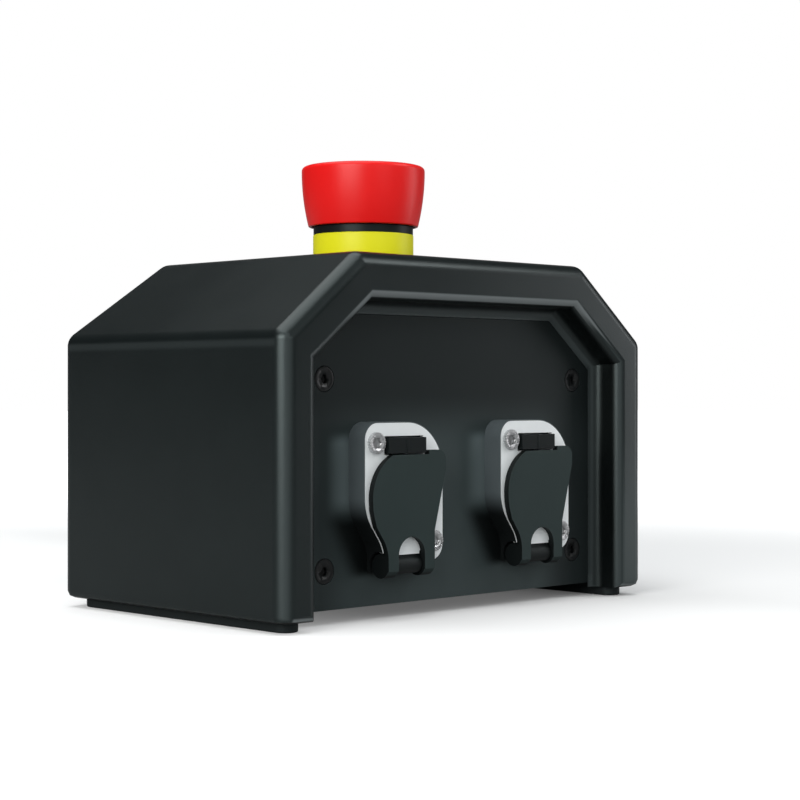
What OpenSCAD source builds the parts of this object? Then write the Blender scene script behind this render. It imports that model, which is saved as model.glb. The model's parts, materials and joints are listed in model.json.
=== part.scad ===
// Emergency stop box with two flush cable sockets behind sprung covers.
// Origin: middle of the footprint on the table, +Z up, the hood opens towards -Y.

/* [Housing] */
// Width over the two side walls
body_w = 129.2; // [122:0.2:160]
// Depth from the hood's front edge to the back wall
body_d = 86.6; // [80:0.2:120]
// Height of the flat top above the table
body_h = 88; // [85:0.5:110]
// How far each top bevel runs in from the side
bevel_w = 24.4; // [18:0.2:30]
// How far each top bevel drops
bevel_h = 19.6; // [14:0.2:24]
// How far the upper back wall leans in
back_lean = 9.4; // [0:0.2:14]
// Radius of the outer edges
edge_r = 4; // [2:0.5:6]
// Radius of the edge round the underside
foot_edge_r = 1.8; // [1:0.1:1.9]
// Wall thickness round the cavity
wall_t = 4; // [3:0.25:5.5]

/* [Hood and front panel] */
// Depth of the recess in front of the panel
recess = 8.4; // [7:0.1:16]
// Thickness of the hood's two legs
hood_leg = 10.6; // [8:0.1:14]
// Thickness of the hood's roof and of its bevels
hood_roof = 11.4; // [9:0.1:14]
// Radius of the hood's inner front edge
hood_r = 2.7; // [1:0.1:4]
// Radius of the cove between the hood and the panel
cove_r = 3; // [1.5:0.1:4]
// Thickness of the front panel
panel_t = 2; // [2:0.1:3]
// Height of the panel's lower edge above the table
panel_low = 3.6; // [3:0.1:5]
// Width of the ledge that carries the panel
ledge_w = 10.9; // [9:0.1:12]
// Depth of that ledge
ledge_t = 6; // [5.5:0.1:9]
// Panel screws, distance in from the hood's legs
panel_screw_in = 9.4; // [8:0.1:11.5]
// Upper panel screws, distance below the housing's top
panel_screw_drop = 30; // [28:0.1:34]
// Lower panel screws, height above the table
panel_screw_low = 12.8; // [10:0.1:20]

/* [Base and skids] */
// Thickness of the base plate
base_t = 2; // [1.5:0.1:3]
// Height of the rails along the side walls
rail_h = 6; // [4:0.1:10]
// Base screws, distance in from the rails
base_screw_in = 5; // [4.5:0.1:8]
// Base screws, distance in from the front and from the back
base_screw_gap = 16.3; // [14.5:0.1:26]
// Height that the rubber skids stand below the housing
foot_h = 2.4; // [1.5:0.1:4]
// Width of a skid
skid_w = 6; // [4:0.1:8]
// Distance of a skid from the side wall's face
skid_in = 3.6; // [2:0.1:4.4]
// Distance of a skid from the front and from the back
skid_gap = 4; // [3:0.1:20]
// Depth of the groove that a skid is bonded in
skid_groove = 0.6; // [0.4:0.1:1.5]

/* [Stop button] */
// Button axis, forward of the middle of the housing
button_forward = 0.9; // [0:0.1:6]
// Widest diameter of the head
head_d = 32.4; // [31:0.1:40]
// Diameter at the head's lower edge
head_low_d = 29; // [28.6:0.1:30.6]
// Height of the head
head_h = 16.2; // [14:0.1:22]
// Travel of the head from rest to latched
press_travel = 4; // [3:0.1:4.5]
// Diameter of the yellow collar
collar_d = 26.4; // [25:0.1:27]
// Height of the collar with its gasket
collar_h = 8.1; // [7:0.1:10]
// Thickness of the gasket below the collar
gasket_t = 0.8; // [0.5:0.1:1.5]
// Height of the black rim between the collar and the head
rim_h = 2.5; // [2:0.1:4]
// Diameter of the threaded barrel through the housing
barrel_d = 22; // [22:0.1:23]
// Length of the barrel below the housing's top
barrel_drop = 22; // [18:0.1:26]
// Diameter of the plunger's rod
rod_d = 8; // [7:0.1:9]

/* [Contact blocks] */
// Width of one contact block
block_w = 10.4; // [9:0.1:12]
// Length of one contact block's body
block_l = 21; // [20:0.1:26]
// Height of one contact block
block_h = 20; // [19:0.1:24]
// Travel of a contact bridge for one millimetre of press
bridge_ratio = 0.6; // [0.4:0.05:0.6]

/* [Sockets] */
// Socket axes, distance from the middle
socket_x = 23.6; // [20:0.1:25]
// Socket axes, height above the table
socket_z = 30.8; // [29:0.1:36]
// Width of the socket's plate
plate_w = 26; // [25:0.1:28]
// Height of the socket's plate
plate_h = 33.5; // [32:0.1:35]
// Thickness of the socket's plate
plate_t = 1.2; // [1:0.1:2]
// Small corner radius of the plate, at its screws
corner_small = 4; // [3:0.1:5]
// Large corner radius of the plate
corner_large = 12; // [10:0.1:12.4]
// Thickness of the rubber frame behind the plate
frame_t = 4.3; // [4:0.1:6]
// Width of the frame's lip round the plate's edge
frame_lip = 0.25; // [0.2:0.05:0.6]
// Bore of the socket
socket_bore_d = 19.2; // [19:0.1:20]
// Outside diameter of the socket's tube
socket_tube_d = 23.6; // [23:0.1:24]
// Length of the socket's tube, from the plate's face
tube_l = 21.2; // [20:0.1:24]
// Depth of the socket, from the plate's face
socket_depth = 16.2; // [15:0.1:17]
// Diameter of the insulator's nose
nose_d = 15.6; // [15:0.1:16]
// Flange screws, distance across from the socket's axis
flange_screw_x = 9.7; // [9.5:0.1:10.2]
// Flange screws, distance above or below the socket's axis
flange_screw_z = 12; // [11.8:0.1:12.4]

/* [Socket covers] */
// Thickness of a cover
cover_t = 1.5; // [1.2:0.1:2.4]
// Radius of a cover's round part
cover_r = 11.1; // [10.8:0.1:11.4]
// Radius of the cover's hinge knuckles
knuckle_r = 2.9; // [2.5:0.1:3]
// Radius of the frame's hub between them
hub_r = 2.2; // [2.1:0.1:2.4]
// Hinge axis, distance below the socket's axis
hinge_drop = 17.4; // [17:0.1:17.8]
// How far the legs' flat front runs on below the hinge axis
leg_foot = 1.2; // [0.5:0.1:1.6]
// Half width of the gap between a cover's legs
leg_gap = 4.4; // [4:0.1:4.8]
// Half width over a cover's legs
leg_span = 7.8; // [7.5:0.1:7.9]
// Diameter of the hinge pin
pin_d = 1.5; // [1.2:0.1:1.8]
// Width of the release tab above a cover
tab_w = 12.5; // [10:0.1:12.6]
// Height of the release tab
tab_h = 3.8; // [3.6:0.1:4]
// Travel of the release tab
tab_travel = 1.2; // [0.8:0.1:1.3]

/* [Hidden] */
$fn = 48;

// Clearances and small standard sizes
slip = 0.15;
snug = 0.03;
run_gap = 0.08;
pin_gap = 0.05;
free_gap = 0.3;
bite = 0.01;
screw_r = 1.5;
screw_head_r = 3;
insert_r = 2.3;
insert_h = 5;
hex_key_r = 1.15;

// Lines that the housing is built on
front_y = -body_d / 2;
back_y = body_d / 2;
shoulder_z = body_h - bevel_h;
bevel_len = norm([bevel_w, bevel_h]);
bevel_nx = bevel_h / bevel_len;
bevel_nz = bevel_w / bevel_len;
bevel_reach = bevel_nx * body_w / 2 + bevel_nz * shoulder_z;
lean_len = norm([bevel_h, back_lean]);
panel_y = front_y + recess;
panel_back = panel_y + panel_t;
base_top = panel_low + base_t;
rail_top = foot_h + rail_h;
rail_x = body_w / 2 - hood_leg;
inner_x = body_w / 2 - wall_t;
cavity_y = panel_back + ledge_t;
panel_screw_x = rail_x - panel_screw_in;
panel_screw_high = body_h - panel_screw_drop;
base_screw_x = rail_x - base_screw_in;
base_screw_y = body_d / 2 - base_screw_gap;
lug_h = insert_h + 1;

// Heights and radii of the stop button
button_y = -button_forward;
rim_z = body_h + collar_h;
head_z = rim_z + rim_h - 0.4;
rim_r = collar_d / 2 - 0.1;
skirt_r = collar_d / 2 + 0.4;
skirt_top = head_z + press_travel + 3;
head_r = head_d / 2;
head_low_r = head_low_d / 2;
head_edge = 1.2;
head_dome = 0.4;
rod_r = rod_d / 2;
rod_top = head_z + head_h - 5.4;
barrel_r = barrel_d / 2;
barrel_bore_r = barrel_r - 2.8;
barrel_low = body_h - barrel_drop;
seat_z = barrel_low + 8;
seat_t = 2;
stop_collar_z = body_h + collar_h - 1;
stop_collar_t = 2.4;
ring_t = 1.2;
ring_z = barrel_low + 2.4;
nut_t = 5;
washer_t = 1;
washer_z = body_h - wall_t - washer_t;
nut_z = washer_z - nut_t;
key_w = 2.2;
key_d = 1;

// Heights of the contact stack, worked out downwards from the barrel
bar_t = 2;
bar_z = barrel_low - 1.7 - bar_t;
holder_floor_t = 1.5;
holder_floor = bar_z - press_travel - 0.7;
holder_low = holder_floor - holder_floor_t;
holder_top = barrel_low + 6;
holder_w = 2 * block_w + 6.4;
holder_l = block_l + 4;
block_x = block_w / 2 + 0.1;
block_z = holder_low - block_h;
block_wall = 2;
shelf_l = 4.5;
shelf_h = 8;
strip_t = 0.8;
strip_w = 4;
strip_z = block_z + 14;
strip_in = 3.5;
strip_out = block_l / 2 + shelf_l;
terminal_y = block_l / 2 + 2.2;
tip_h = 0.8;
bridge_t = 1.1;
bridge_travel = press_travel * bridge_ratio;
bridge_z = strip_z - tip_h - 0.1 - bridge_t;
carrier_r = 1.5;
carrier_top = bar_z - (press_travel - bridge_travel) - 0.2;
boss_h = 1.5;
boss_r = 1.2;
bridge_spring_z = block_z + block_wall;

// Depths inside a socket, from the hood's front edge
plate_y = recess - frame_t - plate_t;
frame_y = plate_y + plate_t;
tube_end = plate_y + tube_l;
nose_y = plate_y + 1.35;
insert_base_y = plate_y + socket_depth;
insert_end = tube_end - 1;
contact_y = nose_y + 1.2;
contact_depth = 11.6;
contact_r = 1.6;
contact_bore_r = 1.22;
cup_r = 1.3;
cup_end = tube_end + 3;
contact_pitch_r = 4.2;
bore_r = socket_bore_d / 2;
tube_r = socket_tube_d / 2;
nose_r = nose_d / 2;
flange_head_r = 2.6;
flange_head_h = 1;
nut_af_r = 3.18;
flange_nut_t = 2.4;

// Places of a cover and of its hinge, from the socket's axis
cover_back = plate_y - 0.1;
cover_y = cover_back - cover_t;
hinge_y = cover_y + knuckle_r;
hinge_z = -hinge_drop;
pin_r = pin_d / 2;
foot_reach = norm([knuckle_r, leg_foot]);
hinge_x = 0.9;
leg_low = hinge_x - leg_span;
leg_high = hinge_x + leg_span;
hub_low = hinge_x - leg_gap + free_gap;
hub_high = hinge_x + leg_gap - free_gap;
pin_low = leg_low + 0.9;
cover_mid = [-0.9, -1.1];
lobe_r = 2.5;
lobe_x = 12.6;
cover_top = 10.1;
cover_waist_z = -9.3;
arch_z = -10.6 - leg_gap;
tab_x = -0.2;
tab_gap = 0.35;
tab_side = tab_x + tab_w / 2 + 2 * tab_gap;
tab_z = 9.45;
tab_y = plate_y - 1.35;
tab_pocket = tab_travel + 0.4;
tab_rib_w = 0.5;
tab_rib_h = 0.15;
stem_w = 6;
stem_h = tube_r - bore_r - 0.7;
stem_z = bore_r + 0.1;
tab_spring_r = 0.8;
tab_spring_end = tube_end - 5.2;
stem_end = tab_spring_end - 7;
catch_w = 3;
catch_t = 2;
catch_drop = 1;
catch_y = stem_end - 3;
seal_t = 1;
seal_r = bore_r - 0.4;
notch_top = hinge_z + knuckle_r + free_gap;
hub_notch_top = hinge_z + hub_r + free_gap;
block_low = hinge_z - 1.6;
spring_pocket_r = hub_r - 0.7;
spring_wire_r = 0.2;

// Sweep of the plate's lower left edge: an arc, a straight run and a hollow arc down to the hinge
sweep_mid = [-1, -1];
sweep_r = plate_w / 2 - 1;
sweep_n = [-0.8125, -0.583];
hollow_r = 8.53;
hollow_mid = [leg_low - 0.1 - hollow_r, -15.97];
spring_pocket_l = 4.5;

// General shapes

// Stands a flat outline up in the XZ plane, from depth y0 to y0 + t
module upright(y0, t) {
    translate([0, y0 + t, 0]) rotate([90, 0, 0]) linear_extrude(t) children();
}

// Lays a flat outline in the YZ plane, from x0 to x0 + t
module sideways(x0, t) {
    translate([x0, 0, 0]) rotate([90, 0, 90]) linear_extrude(t) children();
}

module ring(outer_r, inner_r, h) {
    difference() {
        cylinder(r = outer_r, h = h);
        translate([0, 0, -1]) cylinder(r = inner_r, h = h + 2);
    }
}

// Countersunk screw with its head's face at the origin and its tip towards +Z
module countersunk_screw(length) {
    difference() {
        rotate_extrude() polygon([
            [0, 0], [screw_head_r, 0], [screw_head_r, 0.2], [screw_r, 1.7],
            [screw_r, length - 0.4], [screw_r - 0.4, length], [0, length]
        ]);
        translate([0, 0, -1]) cylinder(r = hex_key_r, h = 2.2, $fn = 6);
    }
}

// Room for that screw and its head
module countersink(depth) {
    translate([0, 0, -1]) cylinder(r = screw_r + 0.1, h = depth + 2);
    rotate_extrude() polygon([
        [0, -1], [screw_head_r + 0.1, -1], [screw_head_r + 0.1, 0.25],
        [screw_r + 0.1, 1.75], [0, 1.75]
    ]);
}

module threaded_insert() {
    difference() {
        ring(insert_r - snug, screw_r + pin_gap, insert_h);
        translate([0, 0, insert_h / 2 - 0.4]) ring(insert_r + 1, insert_r - 0.35, 0.8);
    }
}

// Coil spring from z = 0 to z = height, wound on radius coil_r
function coil_point(coil_r, wire_r, turns, height, i, k, steps, sides) =
    let (
        turn = 360 * turns * i / steps,
        side = 360 * k / sides,
        out = coil_r + wire_r * cos(side),
        up = wire_r + (height - 2 * wire_r) * i / steps + wire_r * sin(side)
    ) [out * cos(turn), out * sin(turn), up];

module coil_spring(coil_r, wire_r, turns, height) {
    steps = turns * 12;
    sides = 6;
    points = [
        for (i = [0 : steps]) for (k = [0 : sides - 1])
            coil_point(coil_r, wire_r, turns, height, i, k, steps, sides)
    ];
    polyhedron(points = points, faces = tube_faces(steps, sides), convexity = 10);
}

// Faces of a tube of rings, with its first and last ring closed
function tube_faces(steps, sides) = concat(
    [[for (k = [sides - 1 : -1 : 0]) k]],
    [for (i = [0 : steps - 1]) for (k = [0 : sides - 1]) [
        i * sides + k, i * sides + (k + 1) % sides, (i + 1) * sides + (k + 1) % sides
    ]],
    [for (i = [0 : steps - 1]) for (k = [0 : sides - 1]) [
        i * sides + k, (i + 1) * sides + (k + 1) % sides, (i + 1) * sides + k
    ]],
    [[for (k = [0 : sides - 1]) steps * sides + k]]
);

// Smooth curve through the points of a route
function route_at(p, s) =
    let (
        n = len(p) - 1,
        i = min(floor(s), n - 1),
        t = s - i,
        a = p[max(i - 1, 0)],
        b = p[i],
        c = p[i + 1],
        d = p[min(i + 2, n)]
    ) 0.5 * (2 * b + (c - a) * t + (2 * a - 5 * b + 4 * c - d) * t * t
        + (3 * b - a - 3 * c + d) * t * t * t);

function unit(v) = v / norm(v);

// Ring i of a lead: the first and last rings face along Y, as the ends do
function lead_ring(p, r, i, steps, sides) =
    let (
        s = (len(p) - 1) * i / steps,
        mid = route_at(p, s),
        ahead = route_at(p, min(s + 0.01, len(p) - 1)),
        behind = route_at(p, max(s - 0.01, 0)),
        run = (i == 0 || i == steps) ? unit([0, ahead[1] - behind[1], 0]) : unit(ahead - behind),
        side = unit(cross(run, [0.3, 0.1, 1])),
        up = cross(run, side)
    ) [for (k = [0 : sides - 1]) mid + r * (cos(360 * k / sides) * side + sin(360 * k / sides) * up)];

module lead(route) {
    steps = 20;
    sides = 8;
    rings = [for (i = [0 : steps]) lead_ring(route, 0.8, i, steps, sides)];
    points = [for (r = rings) for (q = r) q];
    polyhedron(points = points, faces = tube_faces(steps, sides), convexity = 10);
}

// Housing

// Outline of the recess at an offset, as an open-ended arch with its foot at z = -1
function arch(grow) =
    let (
        x = rail_x + grow,
        z = body_h - hood_roof + grow,
        reach = bevel_reach - hood_roof + grow,
        shoulder = (reach - bevel_nx * x) / bevel_nz,
        crown = (reach - bevel_nz * z) / bevel_nx
    ) [[-x, -1], [-x, shoulder], [-crown, z], [crown, z], [x, shoulder], [x, -1]];

// Depth and growth of each section of the recess: rounded mouth, straight wall, cove
function recess_sections() = concat(
    [[-1, hood_r]],
    [for (a = [0 : 15 : 90]) [hood_r * (1 - cos(a)), hood_r * (1 - sin(a))]],
    [for (b = [0 : 15 : 90]) [recess - cove_r * (1 - sin(b)), cove_r * (cos(b) - 1)]]
);

module recess_cutter() {
    sections = recess_sections();
    points = [
        for (s = sections) let (outline = arch(s[1])) for (k = [5 : -1 : 0])
            [outline[k][0], front_y + s[0], outline[k][1]]
    ];
    polyhedron(points = points, faces = tube_faces(len(sections) - 1, 6), convexity = 6);
}

module shell_block() {
    x = body_w / 2 - edge_r;
    y = body_d / 2 - edge_r;
    low_shoulder = shoulder_z - edge_r * (1 - bevel_nx) / bevel_nz;
    crown_x = body_w / 2 - bevel_w - edge_r * (1 - bevel_nz) / bevel_nx;
    crown_y = back_y - back_lean - edge_r * (1 - back_lean / lean_len) * lean_len / bevel_h;
    hull() for (sx = [-1, 1]) {
        for (sy = [-1, 1]) translate([sx * x, sy * y, foot_h]) {
            cylinder(r = edge_r - foot_edge_r, h = 1, $fn = 32);
            translate([0, 0, 0.3 * foot_edge_r]) {
                cylinder(r = edge_r - 0.29 * foot_edge_r, h = 1, $fn = 32);
            }
            translate([0, 0, foot_edge_r]) cylinder(r = edge_r, h = 1, $fn = 32);
        }
        translate([sx * x, -y, low_shoulder]) sphere(r = edge_r, $fn = 32);
        translate([sx * x, y, low_shoulder]) sphere(r = edge_r, $fn = 32);
        translate([sx * crown_x, -y, body_h - edge_r]) sphere(r = edge_r, $fn = 32);
        translate([sx * crown_x, crown_y, body_h - edge_r]) sphere(r = edge_r, $fn = 32);
    }
}

// Outline of the cavity, with the rails along its foot
function cavity_outline() =
    let (
        top = body_h - wall_t,
        reach = bevel_reach - wall_t,
        shoulder = (reach - bevel_nx * inner_x) / bevel_nz,
        crown = (reach - bevel_nz * top) / bevel_nx
    ) [
        [-rail_x, -1], [-rail_x, rail_top], [-inner_x, rail_top], [-inner_x, shoulder],
        [-crown, top], [crown, top], [inner_x, shoulder], [inner_x, rail_top],
        [rail_x, rail_top], [rail_x, -1]
    ];

module cavity() {
    back = back_y - wall_t;
    intersection() {
        upright(cavity_y, body_d) polygon(cavity_outline());
        sideways(-body_w, 2 * body_w) polygon([
            [cavity_y, -1], [back, -1], [back, shoulder_z - wall_t / 2],
            [back - back_lean, body_h], [cavity_y, body_h]
        ]);
    }
}

module at_panel_screws() {
    for (sx = [-1, 1]) for (z = [panel_screw_low, panel_screw_high])
        translate([sx * panel_screw_x, panel_y, z]) rotate([-90, 0, 0]) children();
}

module at_base_screws() {
    for (sx = [-1, 1]) for (sy = [-1, 1])
        translate([sx * base_screw_x, sy * base_screw_y, panel_low]) children();
}

module base_lugs() {
    lug_w = inner_x - base_screw_x + insert_r + 2;
    for (sx = [-1, 1]) for (sy = [-1, 1])
        translate([
            sx * (inner_x + bite - lug_w / 2), sy * base_screw_y, base_top + lug_h / 2
        ]) cube([lug_w, 2 * insert_r + 5, lug_h], center = true);
}

module housing_shell() color("#23282a") difference() {
    union() {
        difference() {
            shell_block();
            recess_cutter();
            upright(panel_y - bite, panel_t + bite) polygon(arch(-cove_r));
            upright(panel_back - bite, ledge_t + 2 * bite) polygon(arch(-cove_r - ledge_w));
            cavity();
        }
        base_lugs();
    }
    translate([-rail_x, panel_y, -1]) cube([2 * rail_x, body_d - recess - wall_t, base_top + 1]);
    at_panel_screws() translate([0, 0, panel_t]) {
        cylinder(r = insert_r, h = insert_h);
        cylinder(r = screw_r + 0.2, h = ledge_t + 1);
    }
    at_base_screws() {
        translate([0, 0, base_t]) cylinder(r = insert_r, h = insert_h);
        translate([0, 0, base_t]) cylinder(r = screw_r + 0.2, h = lug_h + 1);
    }
    translate([0, button_y, body_h - wall_t - 1]) cylinder(r = barrel_r + slip, h = wall_t + 2);
    for (sx = [-1, 1]) skid_body(sx, foot_h - 1, foot_h + skid_groove);
}

module front_panel() color("#2c3234") difference() {
    upright(panel_y, panel_t) intersection() {
        polygon(arch(-cove_r - run_gap));
        translate([-body_w / 2, panel_low]) square([body_w, body_h]);
    }
    at_panel_screws() countersink(panel_t);
    for (side = [-1, 1]) at_socket(side) {
        upright(recess - 1, panel_t + 2) circle(r = tube_r + 2 * slip);
        at_flange_screws() upright(recess - 1, panel_t + 2) circle(r = screw_r + 0.1);
    }
}

module panel_screws() color("#17191a") at_panel_screws() countersunk_screw(panel_t + 5);

module panel_inserts() color("#b99a4b") at_panel_screws() {
    translate([0, 0, panel_t]) threaded_insert();
}

module base_plate() color("#2a2d2e") difference() {
    y0 = panel_back + slip;
    translate([-rail_x + slip, y0, panel_low]) {
        cube([2 * (rail_x - slip), back_y - wall_t - slip - y0, base_t]);
    }
    at_base_screws() countersink(base_t);
}

module base_screws() color("#17191a") at_base_screws() countersunk_screw(base_t + 5);

module base_inserts() color("#b99a4b") at_base_screws() {
    translate([0, 0, base_t]) threaded_insert();
}

// Skid on one side, with rounded ends in plan
module skid_body(side, z0, z1) {
    x = side * (body_w / 2 - skid_in - skid_w / 2);
    y = body_d / 2 - skid_gap - skid_w / 2;
    translate([x, 0, z0]) linear_extrude(z1 - z0) {
        for (sy = [-1, 1]) translate([0, sy * y]) circle(d = skid_w);
        square([skid_w, 2 * y], center = true);
    }
}

module skid_left() color("#101112") skid_body(-1, 0, foot_h + skid_groove);

module skid_right() color("#101112") skid_body(1, 0, foot_h + skid_groove);

// Stop button

module on_button_axis() {
    translate([0, button_y, 0]) children();
}

// Barrel-shaped side of the head: its radius falls off as the square of the drop
function head_side() =
    let (
        top = head_h - head_edge - head_dome,
        low = 0.4
    ) [for (i = [0 : 6]) let (z = low + (top - low) * i / 6, f = (top - z) / (top - low))
        [head_r - (head_r - head_low_r) * f * f, z]];

module stop_head() color("#d2202a") on_button_axis() translate([0, 0, head_z]) difference() {
    rotate_extrude() polygon(concat(
        [[0, 0.2], [head_low_r - 0.5, 0]],
        head_side(),
        [for (a = [22.5 : 22.5 : 90])
            [head_r - head_edge * (1 - cos(a)), head_h - head_dome - head_edge * (1 - sin(a))]],
        [[head_r / 2, head_h - head_dome / 4], [0, head_h]]
    ));
    rotate_extrude() polygon([
        [0, -1], [skirt_r, -1], [skirt_r, skirt_top - head_z], [rod_r + 2, skirt_top - head_z],
        [rod_r + 2, 2.4], [0, 2.4]
    ]);
    translate([0, 0, 1]) cylinder(r = rod_r + pin_gap, h = rod_top - head_z - 1 + 0.2);
}

module plunger() color("#d8d8d4") on_button_axis() {
    difference() {
        translate([0, 0, bar_z]) cylinder(r = rod_r, h = rod_top - bar_z);
        translate([0, 0, ring_z + press_travel - 0.1]) ring(rod_r + 1, rod_r - 0.6, ring_t + 0.4);
    }
    translate([0, 0, stop_collar_z]) {
        cylinder(r = barrel_bore_r - 2 * slip, h = stop_collar_t);
    }
    translate([0, 0, bar_z + bar_t / 2]) cube([2 * block_x + 7, 8, bar_t], center = true);
}

module stop_barrel() color("#16181a") on_button_axis() difference() {
    union() {
        translate([0, 0, barrel_low]) cylinder(r = barrel_r, h = rim_z - barrel_low + bite);
        translate([0, 0, rim_z]) rotate_extrude() polygon([
            [0, 0], [rim_r, 0], [rim_r, rim_h - 0.5], [rim_r - 0.5, rim_h], [0, rim_h]
        ]);
    }
    translate([0, 0, seat_z]) cylinder(r = barrel_bore_r, h = body_h);
    translate([0, 0, barrel_low - 1]) cylinder(r = rod_r + run_gap, h = barrel_drop);
    translate([0, 0, barrel_low - 1]) {
        cylinder(r = barrel_bore_r - 1.2, h = seat_z - seat_t - barrel_low + 1);
    }
    translate([0, 0, ring_z - 0.05]) cylinder(r = barrel_bore_r, h = ring_t + 0.1);
    translate([-key_w / 2, -barrel_r - 1, barrel_low - 1]) {
        cube([key_w, key_d + 1, washer_z + 2 * washer_t - barrel_low + 1]);
    }
}

module yellow_collar() color("#dcdc22") on_button_axis() translate([0, 0, body_h + gasket_t]) {
    h = collar_h - gasket_t;
    rotate_extrude() polygon([
        [barrel_r + slip, 0], [collar_d / 2, 0], [collar_d / 2, h - 0.3],
        [collar_d / 2 - 0.3, h], [barrel_r + slip, h]
    ]);
}

module collar_gasket() color("#1b1b1b") on_button_axis() translate([0, 0, body_h]) {
    ring(collar_d / 2 - 0.2, barrel_r + slip, gasket_t);
}

module anti_turn_washer() color("#b8bcbe") on_button_axis() translate([0, 0, washer_z]) {
    ring(barrel_r + 4, barrel_r + slip, washer_t);
    translate([-key_w / 2 + slip, -barrel_r - 1, 0]) cube([key_w - 2 * slip, 1.7, washer_t]);
}

module lock_nut() color("#a9adaf") on_button_axis() translate([0, 0, nut_z]) difference() {
    cylinder(r = barrel_r + 5, h = nut_t, $fn = 6);
    translate([0, 0, -1]) cylinder(r = barrel_r + pin_gap, h = nut_t + 2);
}

module latch_ring() color("#9ea3a6") on_button_axis() translate([0, 0, ring_z]) difference() {
    ring(barrel_bore_r - snug, rod_r + free_gap, ring_t);
    translate([0, -1.5, -1]) cube([barrel_r, 3, ring_t + 2]);
}

module return_spring() color("#c4c8ca") on_button_axis() translate([0, 0, seat_z]) {
    coil_spring(barrel_bore_r - 1.3, 0.55, 6, stop_collar_z - seat_z);
}

// Contact blocks

module block_holder() color("#2b2e30") on_button_axis() difference() {
    translate([-holder_w / 2, -holder_l / 2, holder_low]) {
        cube([holder_w, holder_l, holder_top - holder_low]);
    }
    translate([0, 0, barrel_low]) cylinder(r = barrel_r + snug, h = 10);
    translate([-holder_w / 2 + 2, -6, holder_floor]) {
        cube([holder_w - 4, 12, barrel_low - holder_floor + bite]);
    }
    for (sx = [-1, 1]) translate([sx * block_x, 0, holder_low - 1]) {
        cylinder(r = carrier_r + free_gap, h = 4);
    }
}

module at_block(side) {
    translate([side * block_x, button_y, 0]) children();
}

module block_body() difference() {
    union() {
        translate([-block_w / 2, -block_l / 2, block_z]) cube([block_w, block_l, block_h]);
        for (sy = [-1, 1]) translate([0, sy * (block_l + shelf_l) / 2, strip_z - shelf_h / 2]) {
            cube([block_w, shelf_l + 2 * bite, shelf_h], center = true);
        }
    }
    translate([0, 0, block_z + block_h / 2]) {
        cube([block_w - 2 * block_wall, block_l - 2 * block_wall, block_h - 2 * block_wall], center = true);
    }
    translate([0, 0, block_z + block_wall]) cylinder(r = carrier_r + free_gap, h = block_h);
    for (sy = [-1, 1]) {
        translate([-strip_w / 2, sy * block_l / 2 - block_wall - 1, strip_z]) {
            cube([strip_w, 2 * block_wall + 2, strip_t]);
        }
        translate([0, sy * terminal_y, strip_z - shelf_h + 2]) cylinder(r = 1.3, h = shelf_h);
    }
}

module contact_block_1() color("#8d9295") at_block(-1) block_body();

module contact_block_2() color("#8d9295") at_block(1) block_body();

// Plastic carrier with the metal bridge that it holds against the fixed contacts
module bridge_body() {
    translate([-1.5, -strip_in - 3.5, bridge_z]) cube([3, 2 * strip_in + 7, bridge_t]);
    translate([0, 0, bridge_z]) cylinder(r = carrier_r, h = carrier_top - bridge_z);
    translate([0, 0, bridge_z - boss_h]) cylinder(r = boss_r, h = boss_h + bite);
}

module contact_bridge_1() color("#c9a24e") at_block(-1) bridge_body();

module contact_bridge_2() color("#c9a24e") at_block(1) bridge_body();

module bridge_spring() {
    translate([0, 0, bridge_spring_z]) coil_spring(2, 0.3, 5, bridge_z - bridge_spring_z);
}

module bridge_spring_1() color("#c4c8ca") at_block(-1) bridge_spring();

module bridge_spring_2() color("#c4c8ca") at_block(1) bridge_spring();

// Two fixed contacts of a block, each a strip with a tip over the bridge
module terminal_pair() {
    for (sy = [0, 1]) mirror([0, sy, 0]) difference() {
        union() {
            translate([-strip_w / 2, strip_in, strip_z]) cube([strip_w, strip_out - strip_in, strip_t]);
            translate([-1, strip_in + 0.4, strip_z - tip_h]) cube([2, 2, tip_h + bite]);
        }
        translate([0, terminal_y, strip_z - 1]) cylinder(r = 1.3, h = 3);
    }
}

module terminals_1() color("#c9a24e") at_block(-1) terminal_pair();

module terminals_2() color("#c9a24e") at_block(1) terminal_pair();

module terminal_screw() difference() {
    union() {
        translate([0, 0, strip_t]) cylinder(r = 1.9, h = 1.4);
        translate([0, 0, -5]) cylinder(r = 1.25, h = 5 + strip_t + bite);
    }
    translate([-2.5, -0.3, strip_t + 0.7]) cube([5, 0.6, 2]);
}

module terminal_screws() color("#b4b8ba") {
    for (side = [-1, 1]) at_block(side) for (sy = [-1, 1]) {
        translate([0, sy * terminal_y, strip_z]) terminal_screw();
    }
}

// Sockets, drawn from the socket's axis at the depth of the hood's front edge

module at_socket(side) {
    translate([side * socket_x, front_y, socket_z]) children();
}

module at_flange_screws() {
    for (s = [-1, 1]) translate([s * flange_screw_x, 0, -s * flange_screw_z]) children();
}

module corner(x, z, r) {
    translate([x - sign(x) * r, z - sign(z) * r]) circle(r = r);
}

// Outline of the plate, or of the frame with its lip where it grows: small radii at the two
// screws, a large one at the upper right and the sweep at the lower left
module plate_outline(grow = 0) difference() {
    x = plate_w / 2 + grow;
    z = plate_h / 2 + grow;
    b = corner_large + grow;
    s = corner_small + grow;
    p = sweep_mid + (sweep_r + grow) * sweep_n;
    q = hollow_mid - (hollow_r - grow) * sweep_n;
    union() {
        corner(-x, z, s);
        corner(x, -z, s);
        corner(x, z, b);
        translate(sweep_mid) circle(r = sweep_r + grow, $fn = 96);
        polygon([
            [-x, z - s], [-x + s, z], [x - b, z], [x, z - b], [x, -z + s], [x - s, -z],
            [q[0], -z], q, p, sweep_mid, [-x, sweep_mid[1]]
        ]);
    }
    translate(hollow_mid) circle(r = hollow_r - grow, $fn = 96);
    translate([-x, -z - 1]) square([x + leg_low - 0.1 - grow, z + 1 + hollow_mid[1]]);
}

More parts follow.
